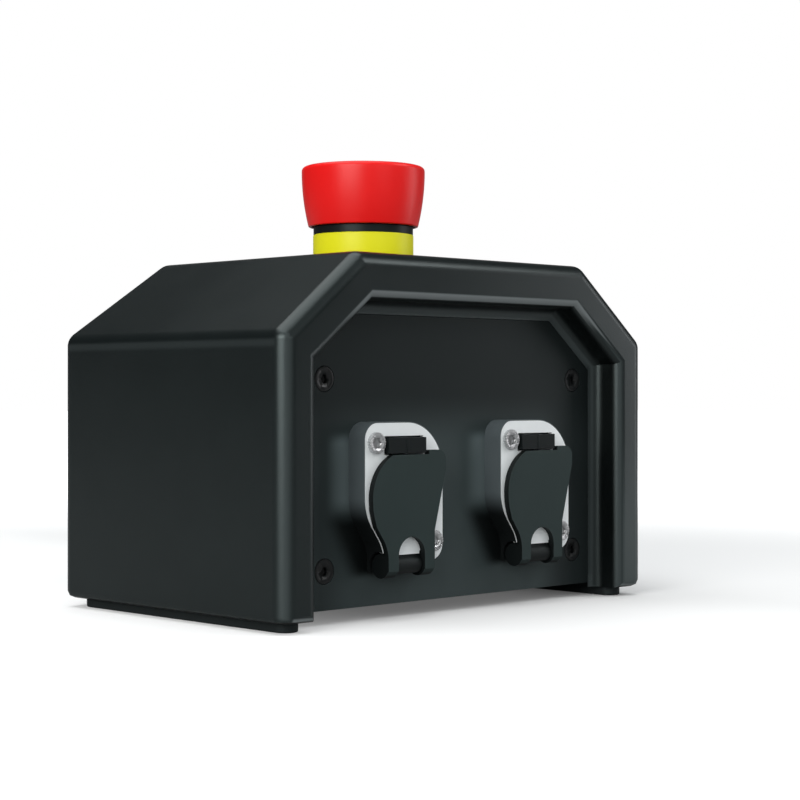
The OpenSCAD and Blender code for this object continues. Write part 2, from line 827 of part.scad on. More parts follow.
module hinge_axis() {
    translate([0, hinge_y, hinge_z]) children();
}

// Cylinder along the hinge axis from x0 to x1
module barrel_on_hinge(x0, x1, r) {
    hinge_axis() translate([x0, 0, 0]) rotate([0, 90, 0]) cylinder(r = r, h = x1 - x0);
}

module seal_frame() difference() {
    union() {
        upright(plate_y + 0.1, plate_t - 0.1 + frame_t) plate_outline(frame_lip);
        translate([leg_low - 0.1 - frame_lip, frame_y, block_low]) {
            cube([2 * leg_span + 0.1 + frame_lip, frame_t, hollow_mid[1] - block_low + bite]);
        }
        barrel_on_hinge(hub_low, hub_high, hub_r);
    }
    upright(plate_y - 1, plate_t + 1) difference() {
        plate_outline(pin_gap);
        translate([hub_low, hinge_z - hub_r]) square([hub_high - hub_low, 2 * hub_r]);
    }
    barrel_on_hinge(leg_low - 4, hub_low, foot_reach + free_gap);
    barrel_on_hinge(hub_high, leg_high + 1, foot_reach + free_gap);
    barrel_on_hinge(hub_low - 1, hub_high, pin_r + pin_gap);
    barrel_on_hinge(hub_high - spring_pocket_l, hub_high + 1, spring_pocket_r);
    upright(frame_y - 1, frame_t + 2) circle(r = tube_r + slip);
    at_flange_screws() upright(frame_y - 1, frame_t + 2) circle(r = screw_r + 0.1);
    translate([tab_x - tab_w / 2 - tab_gap, frame_y - 1, tab_z - tab_gap]) {
        cube([tab_w + 2 * tab_gap, tab_pocket + 1.2, tab_h + 2 * tab_gap]);
    }
}

module socket_shell() difference() {
    union() {
        upright(plate_y, plate_t) plate_outline();
        upright(frame_y - bite, tube_end - frame_y + bite) circle(r = tube_r);
    }
    upright(plate_y - 1, tube_end - plate_y + 2) circle(r = bore_r);
    at_flange_screws() upright(plate_y - 1, plate_t + 2) circle(r = screw_r + 0.1);
    translate([-plate_w, plate_y - 1, -plate_h]) {
        cube([plate_w + leg_high + free_gap, plate_t + 2, hub_notch_top + plate_h]);
        cube([plate_w + hub_low, plate_t + 2, notch_top + plate_h]);
    }
    translate([hub_high, plate_y - 1, -plate_h]) {
        cube([leg_high + free_gap - hub_high, plate_t + 2, notch_top + plate_h]);
    }
    translate([tab_x - tab_w / 2 - tab_gap, plate_y - 1, tab_z - tab_gap]) {
        cube([tab_w + 2 * tab_gap, plate_t + tab_pocket + 1.2, tab_h + 2 * tab_gap]);
    }
    translate([-stem_w / 2 - slip, frame_y, stem_z - slip]) {
        cube([stem_w + 2 * slip, tab_spring_end - frame_y, tube_r]);
    }
    translate([-catch_w / 2 - slip, catch_y - slip, stem_z - catch_drop - slip]) {
        cube([catch_w + 2 * slip, catch_t + tab_travel + 2 * slip, tube_r]);
    }
}

// Places of the three contacts round the socket's axis
module at_contacts() {
    for (a = [150, 30, 270]) {
        translate([contact_pitch_r * cos(a), 0, contact_pitch_r * sin(a)]) children();
    }
}

module socket_insert() difference() {
    union() {
        upright(nose_y, insert_base_y - nose_y + bite) circle(r = nose_r);
        upright(insert_base_y, insert_end - insert_base_y) circle(r = bore_r - snug);
    }
    at_contacts() upright(nose_y - 1, insert_end - nose_y + 2) circle(r = contact_r + pin_gap);
}

module socket_contacts() at_contacts() difference() {
    union() {
        upright(contact_y, insert_end - contact_y + bite) circle(r = contact_r);
        upright(insert_end, cup_end - insert_end) circle(r = cup_r);
    }
    upright(contact_y - 1, contact_depth + 1) circle(r = contact_bore_r);
}

// Cover outline: round at the upper left, a lobe at the upper right, two hinge legs below
module cover_outline() difference() {
    p = sweep_mid + (sweep_r - 0.1) * sweep_n;
    q = hollow_mid - (hollow_r + 0.1) * sweep_n;
    union() {
        translate(cover_mid) circle(r = cover_r, $fn = 96);
        translate([lobe_x - lobe_r, cover_top - lobe_r]) circle(r = lobe_r);
        polygon([
            [cover_mid[0], cover_top], [lobe_x - lobe_r, cover_top], [lobe_x, cover_top - lobe_r],
            [lobe_x, cover_top - 4.6], [leg_high, cover_waist_z], [leg_high, hinge_z],
            [leg_low, hinge_z], [q[0], hollow_mid[1]], q, p,
            [p[0] - 0.62, -6.1], [p[0] - 0.95, -4.9], [p[0] - 1.22, -3.6], [cover_mid[0] - cover_r, -1.5]
        ]);
    }
    translate(hollow_mid) circle(r = hollow_r + 0.1, $fn = 96);
    translate([-plate_w, hinge_z - 1]) square([plate_w + leg_low, hollow_mid[1] + 1 - hinge_z]);
    translate([tab_side - plate_w, tab_z - tab_gap]) square(plate_w);
    translate([hinge_x - leg_gap, arch_z - plate_w]) square([2 * leg_gap, plate_w]);
    translate([hinge_x, arch_z]) circle(r = leg_gap);
}

module socket_cover() difference() {
    union() {
        upright(cover_y, cover_t) cover_outline();
        for (x0 = [leg_low, hinge_x + leg_gap]) {
            barrel_on_hinge(x0, x0 + leg_span - leg_gap, knuckle_r);
            hinge_axis() translate([x0, -knuckle_r, -leg_foot]) {
                cube([leg_span - leg_gap, knuckle_r, leg_foot + bite]);
            }
        }
    }
    barrel_on_hinge(pin_low, leg_high + 1, pin_r);
    translate([flange_screw_x, 0, -flange_screw_z]) {
        upright(cover_y + 0.5, cover_t) circle(r = flange_head_r + 0.35);
    }
}

module cover_seal() {
    upright(cover_back, seal_t) circle(r = seal_r);
}

module hinge_pin() barrel_on_hinge(pin_low, leg_high, pin_r);

module cover_spring() hinge_axis() {
    translate([hub_high - spring_pocket_l + 0.1, 0, 0]) rotate([0, 90, 0]) {
        coil_spring((spring_pocket_r + pin_r + pin_gap) / 2, spring_wire_r, 6, spring_pocket_l - 0.3);
    }
}

module push_tab() {
    translate([tab_x - tab_w / 2, tab_y, tab_z]) cube([tab_w, frame_y - tab_y, tab_h]);
    translate([-stem_w / 2, frame_y - bite, stem_z]) cube([stem_w, stem_end - frame_y + bite, stem_h]);
    translate([-catch_w / 2, catch_y, stem_z - catch_drop]) {
        cube([catch_w, catch_t, catch_drop + bite]);
    }
    translate([tab_x - tab_rib_w / 2, tab_y - tab_rib_h, tab_z]) {
        cube([tab_rib_w, tab_rib_h + bite, tab_h]);
    }
}

module tab_spring() {
    translate([0, stem_end, (bore_r + tube_r) / 2]) rotate([-90, 0, 0]) {
        coil_spring(tab_spring_r - 0.15, 0.15, 7, tab_spring_end - stem_end);
    }
}

module flange_screws() at_flange_screws() difference() {
    union() {
        upright(plate_y - flange_head_h, flange_head_h) circle(r = flange_head_r);
        upright(plate_y - bite, recess - frame_y + plate_t + panel_t + flange_nut_t + 0.4 + bite) {
            circle(r = screw_r);
        }
    }
    upright(plate_y - flange_head_h - 1, 1.7) circle(r = hex_key_r, $fn = 6);
}

module seal_frame_a() color("#1c1f20") at_socket(-1) seal_frame();

module seal_frame_b() color("#1c1f20") at_socket(1) seal_frame();

module socket_shell_a() color("#ccd2d4") at_socket(-1) socket_shell();

module socket_shell_b() color("#ccd2d4") at_socket(1) socket_shell();

module socket_insert_a() color("#161819") at_socket(-1) socket_insert();

module socket_insert_b() color("#161819") at_socket(1) socket_insert();

module socket_contacts_a() color("#d3b25a") at_socket(-1) socket_contacts();

module socket_contacts_b() color("#d3b25a") at_socket(1) socket_contacts();

module socket_cover_a() color("#2f3635") at_socket(-1) socket_cover();

module socket_cover_b() color("#2f3635") at_socket(1) socket_cover();

module cover_seal_a() color("#1b1b1b") at_socket(-1) cover_seal();

module cover_seal_b() color("#1b1b1b") at_socket(1) cover_seal();

module hinge_pin_a() color("#a9adaf") at_socket(-1) hinge_pin();

module hinge_pin_b() color("#a9adaf") at_socket(1) hinge_pin();

module cover_spring_a() color("#c4c8ca") at_socket(-1) cover_spring();

module cover_spring_b() color("#c4c8ca") at_socket(1) cover_spring();

module push_tab_a() color("#1d2021") at_socket(-1) push_tab();

module push_tab_b() color("#1d2021") at_socket(1) push_tab();

module tab_spring_a() color("#c4c8ca") at_socket(-1) tab_spring();

module tab_spring_b() color("#c4c8ca") at_socket(1) tab_spring();

module flange_screws_a() color("#c6cacc") at_socket(-1) flange_screws();

module flange_screws_b() color("#c6cacc") at_socket(1) flange_screws();

module flange_nuts() color("#c6cacc") for (side = [-1, 1]) at_socket(side) at_flange_screws() {
    difference() {
        upright(recess + panel_t, flange_nut_t) circle(r = nut_af_r, $fn = 6);
        upright(recess, panel_t + flange_nut_t + 1) circle(r = screw_r + pin_gap);
    }
}

// Two leads from a block's terminals to the first two contacts of its socket
module lead_pair() {
    x0 = -block_x;
    z0 = strip_z + strip_t / 2;
    x1 = -socket_x + contact_pitch_r * cos(30);
    x2 = -socket_x - contact_pitch_r * cos(30);
    z1 = socket_z + contact_pitch_r * sin(30);
    end_y = front_y + cup_end;
    near_y = button_y - strip_out;
    far_y = button_y + strip_out;
    lead([
        [x0, near_y, z0], [x0 - 0.4, near_y - 3.4, z0 - 0.4], [x0 - 6, near_y - 4.6, z0 - 7],
        [x0 - 11, near_y + 3.4, z0 - 13], [x1, end_y + 6, z1 + 0.4], [x1, end_y, z1]
    ]);
    lead([
        [x0, far_y, z0], [x0 - 0.4, far_y + 3.4, z0 - 0.4], [x0 - 7, far_y + 4.6, z0 - 7],
        [x0 - 15, far_y - 6, z0 - 14], [x2, end_y + 8, z1 + 0.6], [x2, end_y, z1]
    ]);
}

module leads_a() color("#b3392f") lead_pair();

module leads_b() color("#b3392f") mirror([1, 0, 0]) lead_pair();

housing_shell();
front_panel();
panel_screws();
panel_inserts();
base_plate();
base_screws();
base_inserts();
skid_left();
skid_right();
stop_head();
plunger();
stop_barrel();
yellow_collar();
collar_gasket();
anti_turn_washer();
lock_nut();
latch_ring();
return_spring();
block_holder();
contact_block_1();
contact_block_2();
contact_bridge_1();
contact_bridge_2();
bridge_spring_1();
bridge_spring_2();
terminals_1();
terminals_2();
terminal_screws();
seal_frame_a();
seal_frame_b();
socket_shell_a();
socket_shell_b();
socket_insert_a();
socket_insert_b();
socket_contacts_a();
socket_contacts_b();
socket_cover_a();
socket_cover_b();
cover_seal_a();
cover_seal_b();
hinge_pin_a();
hinge_pin_b();
cover_spring_a();
cover_spring_b();
push_tab_a();
push_tab_b();
tab_spring_a();
tab_spring_b();
flange_screws_a();
flange_screws_b();
flange_nuts();
leads_a();
leads_b();
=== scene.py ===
"""Looks of the emergency stop box: its coats, its fine edges, the studio and the camera."""

import json
import math

import bmesh
import bpy
from mathutils import Matrix, Vector


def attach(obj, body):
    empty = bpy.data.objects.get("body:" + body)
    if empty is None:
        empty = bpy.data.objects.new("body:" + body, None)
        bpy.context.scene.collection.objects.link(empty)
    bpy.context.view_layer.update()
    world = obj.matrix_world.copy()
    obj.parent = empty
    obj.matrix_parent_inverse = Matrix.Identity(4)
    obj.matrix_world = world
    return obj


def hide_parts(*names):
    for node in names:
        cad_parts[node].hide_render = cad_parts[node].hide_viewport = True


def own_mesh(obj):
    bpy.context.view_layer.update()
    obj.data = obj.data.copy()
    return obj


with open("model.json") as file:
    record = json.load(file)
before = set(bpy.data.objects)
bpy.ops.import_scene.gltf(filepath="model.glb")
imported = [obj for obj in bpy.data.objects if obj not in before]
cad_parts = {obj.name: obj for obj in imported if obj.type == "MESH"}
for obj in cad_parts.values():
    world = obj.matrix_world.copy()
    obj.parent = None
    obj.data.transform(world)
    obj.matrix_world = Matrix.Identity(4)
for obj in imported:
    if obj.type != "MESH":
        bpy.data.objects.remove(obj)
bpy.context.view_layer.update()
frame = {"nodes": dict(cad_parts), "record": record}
NODES = frame["nodes"]
MM = 0.001

# Places on the box, in millimetres from the middle of its footprint
FRONT_Y = -43.3
PANEL_Y = -34.9
BUTTON_Y = -0.9
HEAD_Z = 98.2
RIM_Z = 96.1
HOUSING_TOP = 88.0
SOCKET_X = 23.6
SOCKET_Z = 30.8
SOCKETS = {"a": -SOCKET_X, "b": SOCKET_X}

# A socket: depths of its cover and plate from the hood's front edge, its hinge, its latch tab
COVER_FACE = 1.3
PLATE_FACE = 2.9
HINGE_DROP = 17.4
HINGE_SPRING_X = 0.6
KNUCKLE_R = 2.9
TAB_STOP_DEPTH = 16.0
TAB_RISE = 10.7

# Contact blocks under the button, and the return spring's seat
BLOCK_X = 5.3
BLOCK_FLOOR_Z = 38.1
SPRING_SEAT_Z = 74.0

# Where the screws sit: their faces, and their distances from the middle of what they hold
PANEL_SCREW_X = 44.6
PANEL_SCREW_Z = (12.8, 58.0)
BASE_SCREW_X = 49.0
BASE_SCREW_Y = 27.0
BASE_FACE_Z = 3.6
FLANGE_SCREW_X = 9.7
FLANGE_SCREW_Z = 12.0


# Node groups that several finishes share


def new_group(name, inputs, outputs):
    """An empty shader group with float inputs (name, value) and outputs (name, kind)."""
    group = bpy.data.node_groups.new(name, "ShaderNodeTree")
    for label, value in inputs:
        socket = group.interface.new_socket(label, in_out="INPUT", socket_type="NodeSocketFloat")
        socket.default_value = value
    for label, kind in outputs:
        group.interface.new_socket(label, in_out="OUTPUT", socket_type=kind)
    return group, group.nodes.new("NodeGroupInput"), group.nodes.new("NodeGroupOutput")


def node(tree, kind, **settings):
    """A node with its properties set; a key that starts with in_ sets the input of that index."""
    made = tree.nodes.new(kind)
    for key, value in settings.items():
        if key.startswith("in_"):
            made.inputs[int(key[3:])].default_value = value
        else:
            setattr(made, key, value)
    return made


def wire(tree, *pairs):
    for source, target in pairs:
        tree.links.new(source, target)


def math_node(tree, operation, a, b=None):
    """A maths node fed by sockets or plain numbers."""
    made = node(tree, "ShaderNodeMath", operation=operation)
    for slot_index, value in enumerate((a, b)):
        if value is None:
            continue
        if isinstance(value, (int, float)):
            made.inputs[slot_index].default_value = value
        else:
            tree.links.new(value, made.inputs[slot_index])
    return made.outputs[0]


def grain_group():
    """Fine grain of a moulded or powder-coated skin: rounded cells broken up by noise."""
    group, given, out = new_group(
        "skin_grain",
        [("Grains per metre", 2500.0), ("Roundness", 0.5)],
        [("Height", "NodeSocketFloat")],
    )
    place = node(group, "ShaderNodeTexCoord")
    cells = node(group, "ShaderNodeTexVoronoi", feature="SMOOTH_F1", in_3=0.6)
    speckle = node(group, "ShaderNodeTexNoise", in_3=3.0, in_4=0.55)
    wire(
        group,
        (place.outputs["Object"], cells.inputs["Vector"]),
        (place.outputs["Object"], speckle.inputs["Vector"]),
        (given.outputs["Grains per metre"], cells.inputs["Scale"]),
        (given.outputs["Grains per metre"], speckle.inputs["Scale"]),
    )
    mixed = node(group, "ShaderNodeMix", data_type="FLOAT")
    wire(
        group,
        (given.outputs["Roundness"], mixed.inputs[0]),
        (speckle.outputs[0], mixed.inputs[2]),
        (cells.outputs["Distance"], mixed.inputs[3]),
        (mixed.outputs[0], out.inputs["Height"]),
    )
    return group


def patch_group():
    """Slow, soft change over a surface, as handling and uneven gloss leave it, from Low to High."""
    group, given, out = new_group(
        "uneven_gloss",
        [("Patches per metre", 30.0), ("Low", 0.4), ("High", 0.5)],
        [("Value", "NodeSocketFloat")],
    )
    place = node(group, "ShaderNodeTexCoord")
    broad = node(group, "ShaderNodeTexNoise", in_3=4.0, in_4=0.6)
    spread = node(group, "ShaderNodeMapRange", in_1=0.32, in_2=0.68)
    wire(
        group,
        (place.outputs["Object"], broad.inputs["Vector"]),
        (given.outputs["Patches per metre"], broad.inputs["Scale"]),
        (broad.outputs[0], spread.inputs[0]),
        (given.outputs["Low"], spread.inputs[3]),
        (given.outputs["High"], spread.inputs[4]),
        (spread.outputs[0], out.inputs["Value"]),
    )
    return group


def edge_group():
    """Mask of the outer edges within Reach metres, broken up as rubbing breaks it up; it marks
    rubbed wear and paints a highlight along the edges, most of all on the housing.
    """
    group, given, out = new_group(
        "rubbed_edges",
        [("Reach", 0.0006), ("Amount", 0.5)],
        [("Mask", "NodeSocketFloat")],
    )
    place = node(group, "ShaderNodeTexCoord")
    geometry = node(group, "ShaderNodeNewGeometry")
    eased = node(group, "ShaderNodeBevel", samples=4)
    angle = node(group, "ShaderNodeVectorMath", operation="DOT_PRODUCT")
    rub = node(group, "ShaderNodeTexNoise", in_2=420.0, in_3=4.0, in_4=0.65)
    opened = node(group, "ShaderNodeMapRange", in_1=0.995, in_2=0.86)
    broken = node(group, "ShaderNodeMapRange", in_1=0.35, in_2=0.65)
    wire(
        group,
        (given.outputs["Reach"], eased.inputs["Radius"]),
        (eased.outputs["Normal"], angle.inputs[0]),
        (geometry.outputs["Normal"], angle.inputs[1]),
        (angle.outputs["Value"], opened.inputs[0]),
        (place.outputs["Object"], rub.inputs["Vector"]),
        (rub.outputs[0], broken.inputs[0]),
    )
    edge_share = math_node(group, "MULTIPLY", opened.outputs[0], broken.outputs[0])
    wire(group, (math_node(group, "MULTIPLY", edge_share, given.outputs["Amount"]), out.inputs["Mask"]))
    return group


def dust_group():
    """Mask of the fine dust that settles on what faces up."""
    group, given, out = new_group(
        "settled_dust", [("Amount", 0.1)], [("Mask", "NodeSocketFloat")]
    )
    place = node(group, "ShaderNodeTexCoord")
    geometry = node(group, "ShaderNodeNewGeometry")
    parts = node(group, "ShaderNodeSeparateXYZ")
    specks = node(group, "ShaderNodeTexNoise", in_2=650.0, in_3=5.0, in_4=0.7)
    facing = node(group, "ShaderNodeMapRange", in_1=0.35, in_2=1.0)
    patchy = node(group, "ShaderNodeMapRange", in_1=0.42, in_2=0.72)
    wire(
        group,
        (geometry.outputs["Normal"], parts.inputs[0]),
        (parts.outputs["Z"], facing.inputs[0]),
        (place.outputs["Object"], specks.inputs["Vector"]),
        (specks.outputs[0], patchy.inputs[0]),
    )
    lying = math_node(group, "MULTIPLY", facing.outputs[0], patchy.outputs[0])
    wire(group, (math_node(group, "MULTIPLY", lying, given.outputs["Amount"]), out.inputs["Mask"]))
    return group


def brushed_group():
    """Fine lines along X, as brushing and rolling leave them."""
    group, given, out = new_group(
        "brushed_lines",
        [("Lines per metre", 9000.0), ("Length", 0.03)],
        [("Height", "NodeSocketFloat")],
    )
    place = node(group, "ShaderNodeTexCoord")
    stretch = node(group, "ShaderNodeCombineXYZ", in_1=1.0, in_2=1.0)
    scaled = node(group, "ShaderNodeVectorMath", operation="MULTIPLY")
    lines = node(group, "ShaderNodeTexNoise", in_3=2.0, in_4=0.5)
    wire(
        group,
        (given.outputs["Length"], stretch.inputs[0]),
        (place.outputs["Object"], scaled.inputs[0]),
        (stretch.outputs[0], scaled.inputs[1]),
        (scaled.outputs[0], lines.inputs["Vector"]),
        (given.outputs["Lines per metre"], lines.inputs["Scale"]),
        (lines.outputs[0], out.inputs["Height"]),
    )
    return group


GRAIN = grain_group()
PATCHES = patch_group()
EDGE_WEAR_AND_HIGHLIGHT = edge_group()
DUST = dust_group()
BRUSHED = brushed_group()


def use_group(tree, group, **values):
    """Places a shared group in a material, with its inputs set by name (underscores for spaces)."""
    made = node(tree, "ShaderNodeGroup", node_tree=group)
    for key, value in values.items():
        made.inputs[key.replace("_", " ")].default_value = value
    return made


def blend_colour(tree, mask, below, above):
    """Colour that goes from below to above with the mask; each is a colour or a socket."""
    mix = node(tree, "ShaderNodeMix", data_type="RGBA")
    tree.links.new(mask, mix.inputs[0])
    for index, value in ((6, below), (7, above)):
        if isinstance(value, tuple):
            mix.inputs[index].default_value = (*value, 1.0)
        else:
            tree.links.new(value, mix.inputs[index])
    return mix.outputs[2]


DUST_COLOUR = (0.35, 0.34, 0.32)
DRIFT_TO_GLOSS = 2.3
RUBBED_SMOOTHER = 0.12


def finish(
    name,
    colour,
    shade,
    gloss,
    grain=2500.0,
    depth=0.02,
    roundness=0.5,
    edge=None,
    edge_reach=0.0005,
    edge_amount=0.4,
    dust=0.0,
    brushed=False,
    patches=35.0,
    **sockets,
):
    """A finish: colour drifting to shade, roughness from gloss[0] to gloss[1], a grain of depth
    millimetres, edges rubbed and lit with a painted highlight towards the colour edge, dust, and
    the shader's own plain values."""
    made = bpy.data.materials.new(name)
    made.use_nodes = True
    tree = made.node_tree
    shader = tree.nodes["Principled BSDF"]
    drift = use_group(
        tree, PATCHES, Patches_per_metre=patches * DRIFT_TO_GLOSS, Low=0.0, High=1.0
    )
    skin = blend_colour(tree, drift.outputs["Value"], colour, shade)
    rough = use_group(tree, PATCHES, Patches_per_metre=patches, Low=gloss[0], High=gloss[1])
    rough_out = rough.outputs["Value"]
    if edge:
        edge_share = use_group(tree, EDGE_WEAR_AND_HIGHLIGHT, Reach=edge_reach, Amount=edge_amount).outputs["Mask"]
        skin = blend_colour(tree, edge_share, skin, edge)
        smoother = math_node(tree, "MULTIPLY", edge_share, RUBBED_SMOOTHER)
        rough_out = math_node(tree, "SUBTRACT", rough_out, smoother)
    if dust:
        lying = use_group(tree, DUST, Amount=dust).outputs["Mask"]
        skin = blend_colour(tree, lying, skin, DUST_COLOUR)
    if brushed:
        relief = use_group(tree, BRUSHED, Lines_per_metre=grain)
    else:
        relief = use_group(tree, GRAIN, Grains_per_metre=grain, Roundness=roundness)
    bump = node(tree, "ShaderNodeBump")
    bump.inputs["Strength"].default_value = 1.0
    bump.inputs["Distance"].default_value = depth * MM
    wire(
        tree,
        (relief.outputs["Height"], bump.inputs["Height"]),
        (bump.outputs["Normal"], shader.inputs["Normal"]),
        (skin, shader.inputs["Base Color"]),
        (rough_out, shader.inputs["Roughness"]),
    )
    for key, value in sockets.items():
        shader.inputs[key.replace("_", " ")].default_value = value
    return made


# Tones: parts of a finish that are lighter or darker, told by where a face is and where it looks;
# most are painted highlights, reflections and shade

# Share of the painted highlight on the hood's inner lip, and the slant of the painted shadow below
# each socket frame
LIP_SHARE = 0.6
FRAME_LEAN = 0.54


def split_coordinate(tree, name):
    """The X, Y and Z sockets of a texture coordinate."""
    place = node(tree, "ShaderNodeTexCoord")
    split = node(tree, "ShaderNodeSeparateXYZ")
    wire(tree, (place.outputs[name], split.inputs[0]))
    return split.outputs


def rise(tree, value, low, high, share=1.0):
    """Smooth step of value, from none at low to share at high."""
    step = node(
        tree, "ShaderNodeMapRange", interpolation_type="SMOOTHSTEP",
        in_1=low, in_2=high, in_3=0.0, in_4=share,
    )
    wire(tree, (value, step.inputs[0]))
    return step.outputs[0]


def fall(tree, value, low, high, share=1.0):
    """Smooth step of value, from share at low to none at high."""
    step = node(
        tree, "ShaderNodeMapRange", interpolation_type="SMOOTHSTEP",
        in_1=low, in_2=high, in_3=share, in_4=0.0,
    )
    wire(tree, (value, step.inputs[0]))
    return step.outputs[0]


def size_of(tree, value):
    """A value without its sign."""
    return math_node(tree, "ABSOLUTE", value)


def product(tree, *shares):
    """The product of several shares."""
    total = shares[0]
    for share in shares[1:]:
        total = math_node(tree, "MULTIPLY", total, share)
    return total


def tone(made, toned, *shares):
    """Blends the base colour of a finish towards toned, by the product of the shares."""
    tree = made.node_tree
    shader = tree.nodes["Principled BSDF"]
    skin = shader.inputs["Base Color"].links[0].from_socket
    blended = blend_colour(tree, product(tree, *shares), skin, toned)
    wire(tree, (blended, shader.inputs["Base Color"]))


def tone_along(made, axis, toned, stops):
    """Tones along an axis; stops are pairs of place in metres and share."""
    tree = made.node_tree
    place = split_coordinate(tree, "Object")
    share = stops[0][1]
    for (low, at_low), (high, at_high) in zip(stops, stops[1:]):
        change = rise(tree, place[axis], low, high, at_high - at_low)
        share = math_node(tree, "ADD", share, change)
    tone(made, toned, share)


def tone_top(made, toned):
    """Tones faces that look up."""
    tree = made.node_tree
    look = split_coordinate(tree, "Normal")
    tone(made, toned, rise(tree, look["Z"], 0.55, 0.90))


def tone_sides(made, toned):
    """Tones faces that look neither front nor back."""
    tree = made.node_tree
    look = split_coordinate(tree, "Normal")
    tone(made, toned, fall(tree, size_of(tree, look["Y"]), 0.45, 0.85))


def paint_reflection_and_shadow(made, centres, height, light, dark):
    """Paints on the panel left of each socket a reflection of the frame beside it, and a shadow
    below it.
    """
    tree = made.node_tree
    place = split_coordinate(tree, "Object")
    up = math_node(tree, "SUBTRACT", place["Z"], height)
    beside = product(tree, rise(tree, up, -0.0060, -0.0010), fall(tree, up, 0.0115, 0.0150))
    below = product(tree, rise(tree, up, -0.0210, -0.0185), fall(tree, up, -0.0080, -0.0035))
    leaning = math_node(tree, "MULTIPLY", up, FRAME_LEAN)
    for centre in centres:
        across = math_node(tree, "SUBTRACT", place["X"], centre)
        slanted = math_node(tree, "ADD", across, leaning)
        left = fall(tree, across, 0.0, 0.003)
        tone(made, light, left, rise(tree, across, -0.0210, -0.0145), beside)
        tone(made, dark, left, rise(tree, slanted, -0.0260, -0.0190), below)


def paint_shoulder_highlight(made, toned, on_side, on_leg):
    """Paints a highlight along a line below the left side's upper edge, and on the low front of the
    right leg.
    """
    tree = made.node_tree
    look = split_coordinate(tree, "Normal")
    place = split_coordinate(tree, "Object")
    tone(
        made, toned,
        fall(tree, size_of(tree, look["Y"]), 0.10, 0.30),
        fall(tree, look["X"], -0.90, -0.75, on_side),
        rise(tree, place["Z"], 0.0647, 0.0660),
        fall(tree, place["Z"], 0.0664, 0.0676),
    )
    tone(
        made, toned,
        fall(tree, look["Y"], -0.98, -0.90, on_leg),
        fall(tree, place["Z"], 0.012, 0.050),
        rise(tree, place["X"], 0.050, 0.056),
    )


def paint_rounded_highlight(made, toned, under, amount, deep):
    """Paints a highlight where a face rounds from the front to the left, and a brighter one in the
    colour under where it rounds down.

    Deeper than deep along Y it paints the highlight only on a lip, where the rounding has nearly
    turned to the front.
    """
    tree = made.node_tree
    look = split_coordinate(tree, "Normal")
    place = split_coordinate(tree, "Object")
    ahead = size_of(tree, look["Y"])
    flat = math_node(tree, "MULTIPLY", ahead, ahead)
    across = math_node(tree, "SQRT", math_node(tree, "SUBTRACT", 1.0, flat))
    between = math_node(tree, "MINIMUM", ahead, across)
    aside = math_node(tree, "ADD", look["X"], look["Z"])
    front = fall(tree, place["Y"], deep, deep + 0.0008)
    tone(
        made, toned,
        rise(tree, between, 0.25, 0.65, amount),
        fall(tree, aside, -0.10, 0.15),
        rise(tree, look["Z"], -0.35, -0.15),
        front,
    )
    tone(
        made, under,
        rise(tree, ahead, 0.58, 0.74, amount),
        fall(tree, look["Z"], -0.30, -0.08),
        fall(tree, size_of(tree, look["X"]), 0.10, 0.30),
        front,
    )
    behind = math_node(tree, "SUBTRACT", 1.0, front)
    tone(made, toned, rise(tree, ahead, 0.78, 0.92, amount * LIP_SHARE), behind)


def paint_hollow_shade(made, toned, beyond):
    """Paints shade on faces that look down, and on those that look left beyond a place across the
    box.
    """
    tree = made.node_tree
    look = split_coordinate(tree, "Normal")
    place = split_coordinate(tree, "Object")
    down = product(
        tree,
        fall(tree, size_of(tree, look["Y"]), 0.45, 0.68),
        fall(tree, look["Z"], -0.65, -0.45),
    )
    inner = product(
        tree,
        fall(tree, look["X"], -0.97, -0.85),
        rise(tree, place["X"], beyond, beyond + 0.004),
    )
    tone(made, toned, math_node(tree, "MAXIMUM", down, inner))


# Finishes

COOL = (0.84, 1.0, 1.0, 1.0)
# painted highlight colour for the housing's rounded edges
GLINT = (0.0420, 0.0515, 0.0525)

# The housing's edge colour is a painted highlight along its rounded edges.
HOUSING_COAT = finish(
    "housing_coat", (0.0056, 0.0080, 0.0083), (0.0046, 0.0067, 0.0070), (0.30, 0.35),
    grain=2600.0, depth=0.012, edge=(0.070, 0.085, 0.086), edge_reach=0.0010, edge_amount=0.55,
    dust=0.01, Specular_IOR_Level=0.50, Specular_Tint=COOL,
)
# painted highlights on the housing's rounded edges and on the lip under the hood's roof
paint_rounded_highlight(HOUSING_COAT, GLINT, (0.2000, 0.2200, 0.2250), amount=0.8, deep=-0.0390)
# painted highlights: a line along the left side's upper edge, and the right leg's low front
paint_shoulder_highlight(HOUSING_COAT, GLINT, on_side=0.32, on_leg=1.0)
# painted shade under the hood's roof and on the inner wall at the right
paint_hollow_shade(HOUSING_COAT, (0.0012, 0.0018, 0.0018), beyond=0.040)
PANEL_SKIN = finish(
    "panel_skin", (0.0400, 0.0530, 0.0540), (0.0360, 0.0480, 0.0490), (0.44, 0.50),
    grain=5200.0, depth=0.006, edge=(0.05, 0.058, 0.060), edge_reach=0.0003,
    Specular_IOR_Level=0.25, Specular_Tint=COOL,
)
# painted shade: the panel darker towards its left and right ends, by the recess walls, and towards
# its top, under the hood's roof
tone_along(
    PANEL_SKIN, "X", (0.0070, 0.0100, 0.0105),
    ((-0.046, 0.65), (-0.034, 0.15), (-0.020, 0.0), (0.028, 0.0), (0.042, 0.9)),
)
tone_along(PANEL_SKIN, "Z", (0.0050, 0.0075, 0.0078), ((0.040, 0.0), (0.055, 1.0)))
